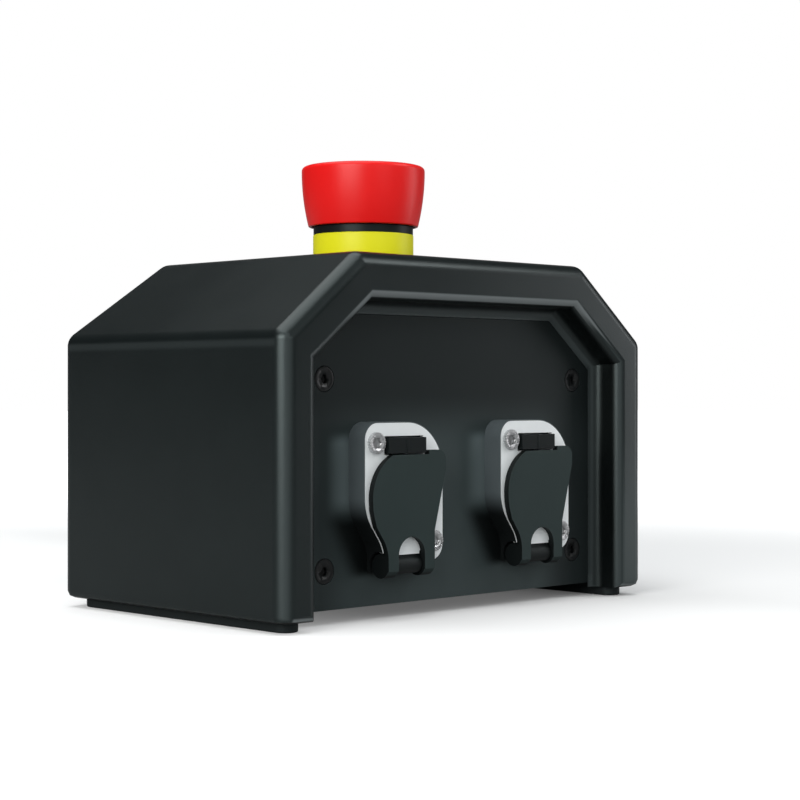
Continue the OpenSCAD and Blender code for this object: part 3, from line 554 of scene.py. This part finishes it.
# painted reflection of each socket frame on the panel beside it, and painted shadow below it
paint_reflection_and_shadow(
    PANEL_SKIN, [side * MM for side in SOCKETS.values()], SOCKET_Z * MM,
    (0.1000, 0.1260, 0.1300), (0.0010, 0.0014, 0.0015),
)
BASE_COAT = finish(
    "base_coat", (0.018, 0.020, 0.021), (0.014, 0.016, 0.017), (0.45, 0.58),
    grain=2600.0, depth=0.015, edge=(0.06, 0.06, 0.06), Specular_IOR_Level=0.3,
)
COVER_PLASTIC = finish(
    "cover_plastic", (0.0225, 0.0345, 0.0340), (0.0205, 0.0315, 0.0310), (0.52, 0.58),
    grain=4200.0, depth=0.007, edge=(0.050, 0.060, 0.060), edge_reach=0.0003,
    edge_amount=0.3, Specular_IOR_Level=0.22, Specular_Tint=COOL,
)
tone_sides(COVER_PLASTIC, (0.0030, 0.0040, 0.0042))
TAB_PLASTIC = finish(
    "tab_plastic", (0.0050, 0.0065, 0.0072), (0.0042, 0.0055, 0.0060), (0.46, 0.54),
    grain=4200.0, depth=0.007, edge=(0.03, 0.034, 0.035), edge_reach=0.0002,
    Specular_IOR_Level=0.2, Specular_Tint=COOL,
)
SEAL_RUBBER = finish(
    "seal_rubber", (0.0880, 0.1060, 0.1130), (0.0790, 0.0950, 0.1020), (0.46, 0.54),
    grain=3200.0, depth=0.008, Specular_IOR_Level=0.3, Specular_Tint=COOL,
)
# painted shade: the seal frame darker towards the bottom, where its lower sweep faces down
tone_along(SEAL_RUBBER, "Z", (0.0040, 0.0048, 0.0050), ((0.0235, 1.0), (0.0300, 0.0)))
SKID_RUBBER = finish(
    "skid_rubber", (0.0130, 0.0160, 0.0168), (0.0155, 0.0185, 0.0193), (0.58, 0.72),
    grain=1800.0, depth=0.03, dust=0.03, Specular_IOR_Level=0.3, Specular_Tint=COOL,
)
BLACK_PLASTIC = finish(
    "black_plastic", (0.0075, 0.0095, 0.0098), (0.0062, 0.0080, 0.0083), (0.36, 0.44),
    grain=4000.0, depth=0.006, edge=(0.03, 0.035, 0.036), Specular_IOR_Level=0.25,
    Specular_Tint=COOL,
)
PLATE_METAL = finish(
    "plate_metal", (0.87, 0.905, 0.91), (0.83, 0.865, 0.875), (0.34, 0.42),
    grain=5000.0, depth=0.004, edge=(0.8, 0.82, 0.82), edge_reach=0.0003, Metallic=0.15,
    Specular_IOR_Level=0.5,
)
STEEL = finish(
    "bright_steel", (0.62, 0.63, 0.64), (0.55, 0.56, 0.57), (0.24, 0.34),
    grain=9000.0, depth=0.004, brushed=True, Metallic=1.0,
)
BLACK_STEEL = finish(
    "blackened_steel", (0.0100, 0.0115, 0.0120), (0.0080, 0.0092, 0.0097), (0.28, 0.38),
    grain=6000.0, depth=0.005, edge=(0.10, 0.10, 0.10), edge_reach=0.0002, edge_amount=0.3,
    Metallic=0.35, Specular_IOR_Level=0.45,
)
BRASS = finish(
    "turned_brass", (0.70, 0.50, 0.20), (0.60, 0.42, 0.17), (0.26, 0.38),
    grain=8000.0, depth=0.004, brushed=True, Metallic=1.0,
)
HEAD_RED = finish(
    "head_red", (0.860, 0.0040, 0.0035), (0.830, 0.0034, 0.0030), (0.34, 0.39),
    grain=2600.0, depth=0.004, edge=(0.88, 0.04, 0.04), edge_reach=0.0004, edge_amount=0.3,
    Specular_IOR_Level=0.36,
)
# painted shade: the head darker on its faces that look up
tone_top(HEAD_RED, (0.600, 0.0005, 0.0005))
COLLAR_YELLOW = finish(
    "collar_yellow", (0.850, 0.820, 0.0070), (0.820, 0.790, 0.0060), (0.38, 0.45),
    grain=2600.0, depth=0.004, edge=(0.88, 0.85, 0.08), edge_reach=0.0003, edge_amount=0.3,
    Specular_IOR_Level=0.32,
)
BLOCK_GREY = finish(
    "block_grey", (0.25, 0.27, 0.28), (0.22, 0.24, 0.25), (0.45, 0.55),
    grain=3600.0, depth=0.01, edge=(0.33, 0.35, 0.36),
)
PLUNGER_WHITE = finish(
    "plunger_white", (0.62, 0.61, 0.57), (0.57, 0.56, 0.52), (0.36, 0.44),
    grain=3600.0, depth=0.006,
)
LEAD_RED = finish(
    "lead_red", (0.46, 0.035, 0.025), (0.40, 0.03, 0.02), (0.34, 0.44),
    grain=3000.0, depth=0.01,
)

FINISH_OF_SLOT = {
    "housing": HOUSING_COAT, "panel": PANEL_SKIN, "base": BASE_COAT, "black_steel": BLACK_STEEL,
    "brass": BRASS, "steel": STEEL, "skid_rubber": SKID_RUBBER, "seal_rubber": SEAL_RUBBER,
    "red_head": HEAD_RED, "yellow_collar": COLLAR_YELLOW, "black_plastic": BLACK_PLASTIC,
    "cover_plastic": COVER_PLASTIC, "block_plastic": BLOCK_GREY, "plunger_plastic": PLUNGER_WHITE,
    "plate_metal": PLATE_METAL, "lead_red": LEAD_RED,
}
SLOT_OF_NODE = {s["node"]: s["material_slot"] for s in frame["record"]["subparts"]}
BODY_OF_NODE = {
    n: body for body, members in frame["record"]["behaviour"]["bodies"].items() for n in members
}

for label, piece in NODES.items():
    coat = TAB_PLASTIC if label.startswith("push_tab") else FINISH_OF_SLOT[SLOT_OF_NODE[label]]
    piece.data.materials.clear()
    piece.data.materials.append(coat)


# Fine pieces


def add_piece(name, mesh):
    piece = bpy.data.objects.new(name, mesh)
    bpy.context.scene.collection.objects.link(piece)
    return piece


def settle(piece):
    """Carries out the piece's modifiers, so that its mesh holds their result."""
    graph = bpy.context.evaluated_depsgraph_get()
    mesh = bpy.data.meshes.new_from_object(piece.evaluated_get(graph))
    piece.modifiers.clear()
    piece.data = mesh
    return piece


def stand_for(piece, label, coat=None):
    """Puts the piece in the place of a CAD node, on the node's body and with its finish."""
    piece.data.materials.clear()
    piece.data.materials.append(coat or NODES[label].data.materials[0])
    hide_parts(label)
    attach(piece, BODY_OF_NODE[label])
    return piece


def mark_edges(bm, smooth):
    """Smooth shading over every edge that turns by less than smooth degrees."""
    for face in bm.faces:
        face.smooth = True
    for edge in bm.edges:
        flat = len(edge.link_faces) == 2 and edge.calc_face_angle(0.0) < math.radians(smooth)
        edge.smooth = flat


def ease_edges(piece, width, segments, limit):
    """Rounds the edges that turn by more than limit degrees, and evens the shading."""
    if width:
        ease = piece.modifiers.new("ease", "BEVEL")
        ease.width = width * MM
        ease.segments = segments
        ease.limit_method = "ANGLE"
        ease.angle_limit = math.radians(limit)
        ease.miter_outer = "MITER_ARC"
    even = piece.modifiers.new("even", "WEIGHTED_NORMAL")
    even.keep_sharp = True
    return settle(piece)


def dress(label, width=0.0, segments=2, limit=35.0, smooth=28.0):
    """Welded copy of a CAD node, its sharp edges eased by width millimetres."""
    mesh = NODES[label].data.copy()
    bm = bmesh.new()
    bm.from_mesh(mesh)
    bmesh.ops.remove_doubles(bm, verts=bm.verts[:], dist=2e-6)
    bmesh.ops.dissolve_limit(
        bm, angle_limit=math.radians(0.5), verts=bm.verts[:], edges=bm.edges[:]
    )
    bmesh.ops.recalc_face_normals(bm, faces=bm.faces[:])
    mark_edges(bm, smooth)
    bm.to_mesh(mesh)
    bm.free()
    piece = ease_edges(add_piece("fine_" + label, mesh), width, segments, limit)
    return stand_for(piece, label)


def turned(name, profile, steps=96, smooth=24.0):
    """Closed solid turned about Z from a profile of (radius, height) in millimetres."""
    bm = bmesh.new()
    rings = []
    for radius, height in profile:
        if radius < 1e-6:
            rings.append([bm.verts.new((0.0, 0.0, height * MM))])
            continue
        ring = []
        for step in range(steps):
            angle = 2 * math.pi * step / steps
            place = (radius * MM * math.cos(angle), radius * MM * math.sin(angle), height * MM)
            ring.append(bm.verts.new(place))
        rings.append(ring)
    for near, far in zip(rings, rings[1:] + rings[:1]):
        if len(near) == 1 and len(far) == 1:
            continue
        for step in range(steps):
            after = (step + 1) % steps
            corners = [
                near[step % len(near)], near[after % len(near)],
                far[after % len(far)], far[step % len(far)],
            ]
            bm.faces.new(list(dict.fromkeys(corners)))
    bmesh.ops.recalc_face_normals(bm, faces=bm.faces[:])
    mark_edges(bm, smooth)
    mesh = bpy.data.meshes.new(name)
    bm.to_mesh(mesh)
    bm.free()
    return add_piece(name, mesh)


def arc(centre_r, centre_z, radius, start, end, steps=6):
    """Points of a profile's round corner, from start to end degrees."""
    points = []
    for step in range(steps + 1):
        angle = math.radians(start + (end - start) * step / steps)
        points.append((centre_r + radius * math.cos(angle), centre_z + radius * math.sin(angle)))
    return points


# Geometry trees: copies on points, and coils


def geometry_tree(name, inputs):
    """A geometry tree with extra inputs (label, socket kind); also gives their identifiers."""
    tree = bpy.data.node_groups.new(name, "GeometryNodeTree")
    tree.interface.new_socket("Geometry", in_out="INPUT", socket_type="NodeSocketGeometry")
    keys = {}
    for label, kind in inputs:
        keys[label] = tree.interface.new_socket(label, in_out="INPUT", socket_type=kind).identifier
    tree.interface.new_socket("Geometry", in_out="OUTPUT", socket_type="NodeSocketGeometry")
    return tree, tree.nodes.new("NodeGroupInput"), tree.nodes.new("NodeGroupOutput"), keys


def copies_tree():
    """Puts a copy of one object on each point, as one mesh."""
    tree, given, out, keys = geometry_tree(
        "copies_on_points", [("Original", "NodeSocketObject"), ("Coat", "NodeSocketMaterial")]
    )
    source = node(tree, "GeometryNodeObjectInfo", transform_space="ORIGINAL")
    spread = node(tree, "GeometryNodeInstanceOnPoints")
    real = node(tree, "GeometryNodeRealizeInstances")
    coat = node(tree, "GeometryNodeSetMaterial")
    wire(
        tree,
        (given.outputs["Original"], source.inputs["Object"]),
        (given.outputs["Geometry"], spread.inputs["Points"]),
        (source.outputs["Geometry"], spread.inputs["Instance"]),
        (spread.outputs[0], real.inputs[0]),
        (real.outputs[0], coat.inputs["Geometry"]),
        (given.outputs["Coat"], coat.inputs["Material"]),
        (coat.outputs[0], out.inputs["Geometry"]),
    )
    return tree, keys


def coil_tree():
    """Coil of round wire standing on the origin along Z, with closed ends."""
    tree, given, out, keys = geometry_tree(
        "wire_coil",
        [
            ("Turns", "NodeSocketFloat"), ("Coil radius", "NodeSocketFloat"),
            ("Wire radius", "NodeSocketFloat"), ("Height", "NodeSocketFloat"),
            ("Coat", "NodeSocketMaterial"),
        ],
    )
    path = node(tree, "GeometryNodeCurveSpiral")
    path.inputs["Resolution"].default_value = 28
    section = node(tree, "GeometryNodeCurvePrimitiveCircle")
    section.inputs["Resolution"].default_value = 10
    tube = node(tree, "GeometryNodeCurveToMesh")
    tube.inputs["Fill Caps"].default_value = True
    shade = node(tree, "GeometryNodeSetShadeSmooth")
    real = node(tree, "GeometryNodeRealizeInstances")
    coat = node(tree, "GeometryNodeSetMaterial")
    wire(
        tree,
        (given.outputs["Turns"], path.inputs["Rotations"]),
        (given.outputs["Coil radius"], path.inputs["Start Radius"]),
        (given.outputs["Coil radius"], path.inputs["End Radius"]),
        (given.outputs["Height"], path.inputs["Height"]),
        (given.outputs["Wire radius"], section.inputs["Radius"]),
        (path.outputs[0], tube.inputs["Curve"]),
        (section.outputs[0], tube.inputs["Profile Curve"]),
        (tube.outputs[0], shade.inputs["Geometry"]),
        (shade.outputs[0], real.inputs[0]),
        (real.outputs[0], coat.inputs["Geometry"]),
        (given.outputs["Coat"], coat.inputs["Material"]),
        (coat.outputs[0], out.inputs["Geometry"]),
    )
    return tree, keys


COPIES, COPIES_KEYS = copies_tree()
COIL, COIL_KEYS = coil_tree()


def copies(label, original, places):
    """Copies of the original at places (millimetres), in the place of a CAD node."""
    mesh = bpy.data.meshes.new("fine_" + label)
    mesh.from_pydata([Vector(place) * MM for place in places], [], [])
    piece = add_piece("fine_" + label, mesh)
    spread = piece.modifiers.new("copies", "NODES")
    spread.node_group = COPIES
    spread[COPIES_KEYS["Original"]] = original
    spread[COPIES_KEYS["Coat"]] = NODES[label].data.materials[0]
    return stand_for(settle(piece), label)


def coil(label, spring, place, joint=None):
    """A coil spring in the place of a CAD node; place takes its foot and axis from Z.

    spring gives its turns and its sizes in millimetres. With a joint, the piece gets a mesh of its
    own.
    """
    turns, coil_radius, wire_radius, height = spring
    piece = add_piece("fine_" + label, bpy.data.meshes.new("fine_" + label))
    wind = piece.modifiers.new("coil", "NODES")
    wind.node_group = COIL
    wind[COIL_KEYS["Turns"]] = float(turns)
    wind[COIL_KEYS["Coil radius"]] = coil_radius * MM
    wind[COIL_KEYS["Wire radius"]] = wire_radius * MM
    wind[COIL_KEYS["Height"]] = (height - 2 * wire_radius) * MM
    wind[COIL_KEYS["Coat"]] = NODES[label].data.materials[0]
    settle(piece)
    piece.data.transform(place @ Matrix.Translation((0, 0, wire_radius * MM)))
    stand_for(piece, label)
    if joint:
        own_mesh(piece)
    return piece


def shifted(x, y, z):
    return Matrix.Translation((x * MM, y * MM, z * MM))


TO_BACK = Matrix.Rotation(math.radians(-90), 4, "X")
TO_FRONT = Matrix.Rotation(math.radians(90), 4, "X")
TO_RIGHT = Matrix.Rotation(math.radians(90), 4, "Y")


def drop(original):
    """Takes an original away once its copies are made."""
    bpy.data.objects.remove(original)


# Springs: turns, radius of the coil, radius of the wire, length at rest

RETURN_SPRING = (6, 6.9, 0.55, 21.1)
BRIDGE_SPRING = (5, 2.0, 0.3, 10.0)
TAB_SPRING = (7, 0.65, 0.15, 7.0)
COVER_SPRING = (6, 1.15, 0.2, 4.2)


# Stop button: radii and heights of the head from its lip, and of the collar

HEAD_HEIGHT = 16.2
CROWN_R = 15.0
CROWN_RISE = 0.4
CROWN_EDGE = 1.2
SKIRT_R = 16.2
SKIRT_TAPER = 1.7
LIP = 0.4
LIP_R = 14.1
BORE_R = 13.6
BORE_FLOOR = 7.0
STEM_R = 6.0
STEM_FOOT = 2.4
STEM_HOLE_R = 4.05
STEM_HOLE_TOP = 10.9
COLLAR_R = 13.2
COLLAR_HOLE_R = 11.15
GASKET_THICK = 0.8
CROWN_STEPS = 7
SKIRT_STEPS = 24


def head_profile():
    """Mushroom head from the middle of its crown, down its side, round the lip and up inside."""
    top = HEAD_HEIGHT - CROWN_EDGE - CROWN_RISE
    points = [(0.0, HEAD_HEIGHT)]
    for step in range(1, CROWN_STEPS + 1):
        out = step / CROWN_STEPS
        points.append((CROWN_R * out, HEAD_HEIGHT - CROWN_RISE * out**2))
    points += arc(CROWN_R, top, CROWN_EDGE, 90, 0, 8)[1:]
    for step in range(1, SKIRT_STEPS + 1):
        down = step / SKIRT_STEPS
        points.append((SKIRT_R - SKIRT_TAPER * down**2, top - (top - LIP) * down))
    points += arc(LIP_R, LIP, LIP, 0, -90, 5)[1:]
    points += [(BORE_R + 0.15, 0.0), (BORE_R, 0.15), (BORE_R, BORE_FLOOR - 0.1)]
    points += [(BORE_R - 0.1, BORE_FLOOR), (STEM_R, BORE_FLOOR), (STEM_R, STEM_FOOT)]
    points += [(STEM_HOLE_R, STEM_FOOT), (STEM_HOLE_R, STEM_HOLE_TOP), (0.0, STEM_HOLE_TOP)]
    return [(radius, z + HEAD_Z) for radius, z in points]


def collar_profile():
    """Collar from its hole, out over its foot and up to its rounded rim."""
    low, high = HOUSING_TOP + GASKET_THICK, RIM_Z
    points = [(COLLAR_HOLE_R, low), (COLLAR_R - 0.2, low)]
    points += arc(COLLAR_R - 0.15, low + 0.15, 0.15, -90, 0, 3)
    points += arc(COLLAR_R - 0.3, high - 0.3, 0.3, 0, 90, 5)
    return points + [(COLLAR_HOLE_R, high)]


def stop_button():
    axis = shifted(0, BUTTON_Y, 0)
    for label, profile in (("stop_head", head_profile()), ("yellow_collar", collar_profile())):
        piece = turned("fine_" + label, profile, steps=128)
        piece.data.transform(axis)
        stand_for(piece, label)
    dress("stop_barrel", 0.12)
    dress("collar_gasket", 0.15)
    seat = shifted(0, BUTTON_Y, SPRING_SEAT_Z)
    coil("return_spring", RETURN_SPRING, seat, "head_press")
    for name, side in (("1", -1), ("2", 1)):
        seat = shifted(side * BLOCK_X, BUTTON_Y, BLOCK_FLOOR_Z)
        coil("bridge_spring_" + name, BRIDGE_SPRING, seat, f"bridge_{name}_lift")


# Screws: all of 3 mm, their faces at z = 0 and their tips above, with hex sockets

SHANK_R = 1.5
KEY_R = 1.15
HEAD_R = 2.95
HEAD_SIDE = 0.22
THREAD_FROM = 2.2
THREAD_TO = 6.2
THREAD_PITCH = 0.6
THREAD_ROOT_R = 1.28
SCREW_LENGTH = 7.0
FLANGE_R = 2.6
FLANGE_THICK = 1.0
SERRATION_R = 2.28
SERRATION_STEP = 3.75
FLANGE_SCREW_LENGTH = 10.3


def cut_key(screw, start, end, tip):
    """Cuts a hex socket into a screw from start to end, with a pointed floor at tip."""
    profile = [(0.0, start), (KEY_R, start), (KEY_R, end), (0.0, tip)]
    key = turned(screw.name + "_key", profile, steps=6)
    cut = screw.modifiers.new("key", "BOOLEAN")
    cut.operation = "DIFFERENCE"
    cut.solver = "EXACT"
    cut.object = key
    settle(screw)
    drop(key)
    return screw


def countersunk(name):
    """Countersunk screw with a turned thread."""
    profile = [(0.0, 0.0), (HEAD_R - 0.12, 0.0)] + arc(HEAD_R - 0.12, 0.12, 0.12, -90, 0, 3)[1:]
    profile += [(HEAD_R, HEAD_SIDE), (SHANK_R, HEAD_SIDE + HEAD_R - SHANK_R)]
    profile += [(SHANK_R, THREAD_FROM)]
    z = THREAD_FROM
    while z < THREAD_TO:
        profile += [(SHANK_R, z + 0.1), (THREAD_ROOT_R, z + 0.3), (THREAD_ROOT_R, z + 0.4)]
        profile += [(SHANK_R, z + THREAD_PITCH)]
        z += THREAD_PITCH
    profile += [(SHANK_R - 0.4, SCREW_LENGTH), (0.0, SCREW_LENGTH)]
    return cut_key(turned(name, profile, steps=48), -1.0, 1.2, 1.55)


def serrated(name):
    """Flange screw: a low head with a serrated rim, and a plain shank."""
    profile = [(0.0, -FLANGE_THICK), (FLANGE_R - 0.3, -FLANGE_THICK)]
    profile += arc(FLANGE_R - 0.2, 0.2 - FLANGE_THICK, 0.2, -90, 0, 3)
    profile += [(FLANGE_R, -0.05), (FLANGE_R - 0.1, 0.0), (SHANK_R, 0.0)]
    profile += [(SHANK_R, FLANGE_SCREW_LENGTH - 0.3), (SHANK_R - 0.3, FLANGE_SCREW_LENGTH)]
    screw = turned(name, profile + [(0.0, FLANGE_SCREW_LENGTH)], steps=96)
    for vertex in screw.data.vertices:
        reach = math.hypot(vertex.co.x, vertex.co.y) / MM
        turn = round(math.degrees(math.atan2(vertex.co.y, vertex.co.x)) / SERRATION_STEP)
        if reach > FLANGE_R - 0.25 and turn % 4 == 0:
            vertex.co.x *= SERRATION_R / reach
            vertex.co.y *= SERRATION_R / reach
    cut_key(screw, -2.0, -0.3, -0.1)
    screw.data.transform(TO_BACK)
    return screw


def screws():
    screw = countersunk("screw_to_back")
    screw.data.transform(TO_BACK)
    places = [(side * PANEL_SCREW_X, PANEL_Y, z) for side in (-1, 1) for z in PANEL_SCREW_Z]
    copies("panel_screws", screw, places)
    drop(screw)
    screw = countersunk("screw_upward")
    corners = [(x, y) for x in (-BASE_SCREW_X, BASE_SCREW_X) for y in (-BASE_SCREW_Y, BASE_SCREW_Y)]
    copies("base_screws", screw, [(x, y, BASE_FACE_Z) for x, y in corners])
    drop(screw)


# Dressed nodes: width of their eased edges in millimetres, and the steps of a wide one

EASED_ON_HOUSING = {
    "housing_shell": (0.0,), "front_panel": (0.12,), "base_plate": (0.2,),
    "skid_left": (0.4, 3), "skid_right": (0.4, 3),
    "contact_block_1": (0.35, 3), "contact_bridge_1": (0.12,), "terminals_1": (0.1,),
    "contact_block_2": (0.35, 3), "contact_bridge_2": (0.12,), "terminals_2": (0.1,),
    "block_holder": (0.35, 3), "plunger": (0.2,), "anti_turn_washer": (0.1,),
    "lock_nut": (0.3,), "latch_ring": (0.1,), "terminal_screws": (0.12,), "flange_nuts": (0.15,),
}
EASED_ON_SOCKET = {
    "seal_frame": (0.3, 3), "socket_shell": (0.15,), "socket_cover": (0.3, 3), "push_tab": (0.2,),
    "cover_seal": (0.15,), "hinge_pin": (0.15,), "socket_insert": (0.2,), "socket_contacts": (0.1,),
}


def socket_pieces(side):
    """The pieces of one socket, a on the left or b on the right."""
    across = SOCKETS[side]
    for label, eased in EASED_ON_SOCKET.items():
        dress(f"{label}_{side}", *eased)
    screw = serrated("screw_with_flange")
    places = [
        (across + corner * FLANGE_SCREW_X, FRONT_Y + PLATE_FACE, SOCKET_Z - corner * FLANGE_SCREW_Z)
        for corner in (-1, 1)
    ]
    copies("flange_screws_" + side, screw, places)
    drop(screw)
    stop = shifted(across, FRONT_Y + PLATE_FACE + TAB_STOP_DEPTH, SOCKET_Z + TAB_RISE)
    coil("tab_spring_" + side, TAB_SPRING, stop @ TO_FRONT, f"tab_{side}_push")
    hinge_y = FRONT_Y + COVER_FACE + KNUCKLE_R
    hinge = shifted(across + HINGE_SPRING_X, hinge_y, SOCKET_Z - HINGE_DROP)
    coil("cover_spring_" + side, COVER_SPRING, hinge @ TO_RIGHT)


for label, eased in EASED_ON_HOUSING.items():
    dress(label, *eased)
stop_button()
screws()
for side in SOCKETS:
    socket_pieces(side)


# Studio: a pale floor, a dim room, soft boxes on both sides, in front and above

ROOM_LIGHT = 0.48
ROOM_GLOSS = 0.02
ROOM_COLOUR = (0.93, 0.98, 1.0, 1.0)
WHITE = (1.0, 1.0, 1.0, 1.0)
BACKDROP_GLOSS = 0.25
BACKDROP_WAY = (0.70, 0.71, 0.0)
FLOOR_SIZE = 8.0
FLOOR_GLOSS = 0.15
FLOOR_SHADE = 0.73
FLOOR_BOUNCE = 0.20
# The floor's glow is painted light: a pool of it left of the box and none right of it, so the box's
# shadow stays deep there
FLOOR_GLOW = 0.12
FLOOR_GLOW_LEFT = 0.16
LAMP_AIM = (0.0, 0.0, 0.06)

# Lamps: name, place, width and height in metres, watts, colour
LAMPS = (
    ("left_box", (-0.80, -0.31, 0.34), 0.58, 0.50, 5.2, (1.0, 0.99, 0.97)),
    ("right_box", (0.60, -0.33, 0.12), 0.22, 0.40, 0.62, (1.0, 0.98, 1.0)),
    ("right_high", (0.42, -0.44, 0.56), 0.30, 0.30, 1.3, (1.0, 1.0, 1.0)),
    ("front_box", (-0.10, -0.90, 0.30), 0.50, 0.40, 0.70, (1.0, 1.0, 1.0)),
    ("top_box", (-0.10, 0.10, 0.95), 0.9, 0.9, 6.4, (1.0, 1.0, 1.0)),
)

# Camera: as fitted to the photo, level, with the picture shifted instead of tilted
CAMERA_PLACE = (-0.34582, -0.36734, 0.05523)
CAMERA_TURN = -44.442
CAMERA_LENS = 86.08
CAMERA_SENSOR = 36.0
CAMERA_SHIFT = -0.01168


def share_seen(tree, in_gloss):
    """Share of the white background that a ray meets: all of it for the camera and through glass,
    in_gloss of it off a glossy surface, none for the light that falls on the box."""
    path = node(tree, "ShaderNodeLightPath")
    either = math_node(
        tree, "MAXIMUM", path.outputs["Is Camera Ray"], path.outputs["Is Transmission Ray"]
    )
    glossy = math_node(tree, "MULTIPLY", path.outputs["Is Glossy Ray"], in_gloss)
    return math_node(tree, "MAXIMUM", either, glossy)


def background(tree, colour):
    """A background shader of one colour, at strength 1 unless its strength is wired."""
    made = node(tree, "ShaderNodeBackground")
    made.inputs["Color"].default_value = colour
    made.inputs["Strength"].default_value = 1.0
    return made


def studio_world():
    """Dim grey room with a white backdrop behind the box."""
    world = bpy.data.worlds.new("studio")
    bpy.context.scene.world = world
    world.use_nodes = True
    tree = world.node_tree
    tree.nodes.clear()
    place = node(tree, "ShaderNodeTexCoord")
    ahead = node(tree, "ShaderNodeVectorMath", operation="DOT_PRODUCT", in_1=BACKDROP_WAY)
    behind = node(tree, "ShaderNodeMapRange", in_1=0.80, in_2=0.95, in_4=BACKDROP_GLOSS)
    path = node(tree, "ShaderNodeLightPath")
    gloss_drop = math_node(tree, "MULTIPLY", path.outputs["Is Glossy Ray"], ROOM_LIGHT - ROOM_GLOSS)
    room = background(tree, ROOM_COLOUR)
    backdrop = background(tree, WHITE)
    both = node(tree, "ShaderNodeMixShader")
    out = node(tree, "ShaderNodeOutputWorld")
    wire(
        tree,
        (place.outputs["Generated"], ahead.inputs[0]),
        (ahead.outputs["Value"], behind.inputs[0]),
        (math_node(tree, "SUBTRACT", ROOM_LIGHT, gloss_drop), room.inputs["Strength"]),
        (share_seen(tree, behind.outputs[0]), both.inputs[0]),
        (room.outputs[0], both.inputs[1]),
        (backdrop.outputs[0], both.inputs[2]),
        (both.outputs[0], out.inputs[0]),
    )


def floor_finish():
    """Pale paper floor, made white by a glow painted on it: more glow left of the box, none right
    of it so that the box's shadow there stays deep, and full glow far off; light that bounces off
    it meets a darker paper.
    """
    made = bpy.data.materials.new("floor_paper")
    made.use_nodes = True
    tree = made.node_tree
    tree.nodes.clear()
    place = node(tree, "ShaderNodeTexCoord")
    reach = node(tree, "ShaderNodeVectorMath", operation="LENGTH")
    wire(tree, (place.outputs["Object"], reach.inputs[0]))
    x = split_coordinate(tree, "Object")["X"]
    left = math_node(tree, "ADD", FLOOR_GLOW, fall(tree, x, -0.07, -0.01, FLOOR_GLOW_LEFT))
    near = product(tree, left, fall(tree, x, 0.03, 0.08))
    away = rise(tree, reach.outputs["Value"], 0.20, 0.62)
    far = product(tree, away, math_node(tree, "SUBTRACT", 1.0, near))
    seen = share_seen(tree, FLOOR_GLOSS)
    shade = math_node(tree, "MULTIPLY", seen, FLOOR_SHADE - FLOOR_BOUNCE)
    paper = node(tree, "ShaderNodeBsdfDiffuse")
    glow = node(tree, "ShaderNodeEmission")
    glow.inputs["Color"].default_value = WHITE
    both = node(tree, "ShaderNodeAddShader")
    out = node(tree, "ShaderNodeOutputMaterial")
    wire(
        tree,
        (math_node(tree, "ADD", shade, FLOOR_BOUNCE), paper.inputs["Color"]),
        (product(tree, seen, math_node(tree, "ADD", near, far)), glow.inputs["Strength"]),
        (paper.outputs[0], both.inputs[0]),
        (glow.outputs[0], both.inputs[1]),
        (both.outputs[0], out.inputs[0]),
    )
    return made


def soft_box(name, place, width, height, watts, colour):
    """A rectangular lamp that faces the box, its height standing up."""
    lamp = bpy.data.lights.new(name, "AREA")
    lamp.shape = "RECTANGLE"
    lamp.size = width
    lamp.size_y = height
    lamp.energy = watts
    lamp.color = colour
    holder = bpy.data.objects.new(name, lamp)
    bpy.context.scene.collection.objects.link(holder)
    holder.location = place
    holder.rotation_euler = (Vector(LAMP_AIM) - Vector(place)).to_track_quat("-Z", "Y").to_euler()
    holder.visible_camera = False


def studio():
    studio_world()
    bpy.ops.mesh.primitive_plane_add(size=FLOOR_SIZE, location=(0, 0, 0))
    floor = bpy.context.object
    floor.name = "floor"
    floor.data.materials.append(floor_finish())
    for lamp in LAMPS:
        soft_box(*lamp)


def camera():
    """Eye-level camera at the box's left front corner."""
    lens = bpy.data.cameras.new("eye")
    lens.sensor_width = CAMERA_SENSOR
    lens.lens = CAMERA_LENS
    lens.shift_y = CAMERA_SHIFT
    lens.clip_start = 0.01
    eye = bpy.data.objects.new("eye", lens)
    eye.location = CAMERA_PLACE
    eye.rotation_euler = (math.radians(90), 0, math.radians(CAMERA_TURN))
    bpy.context.scene.collection.objects.link(eye)
    bpy.context.scene.camera = eye


studio()
camera()
bpy.context.scene.view_settings.view_transform = "Standard"
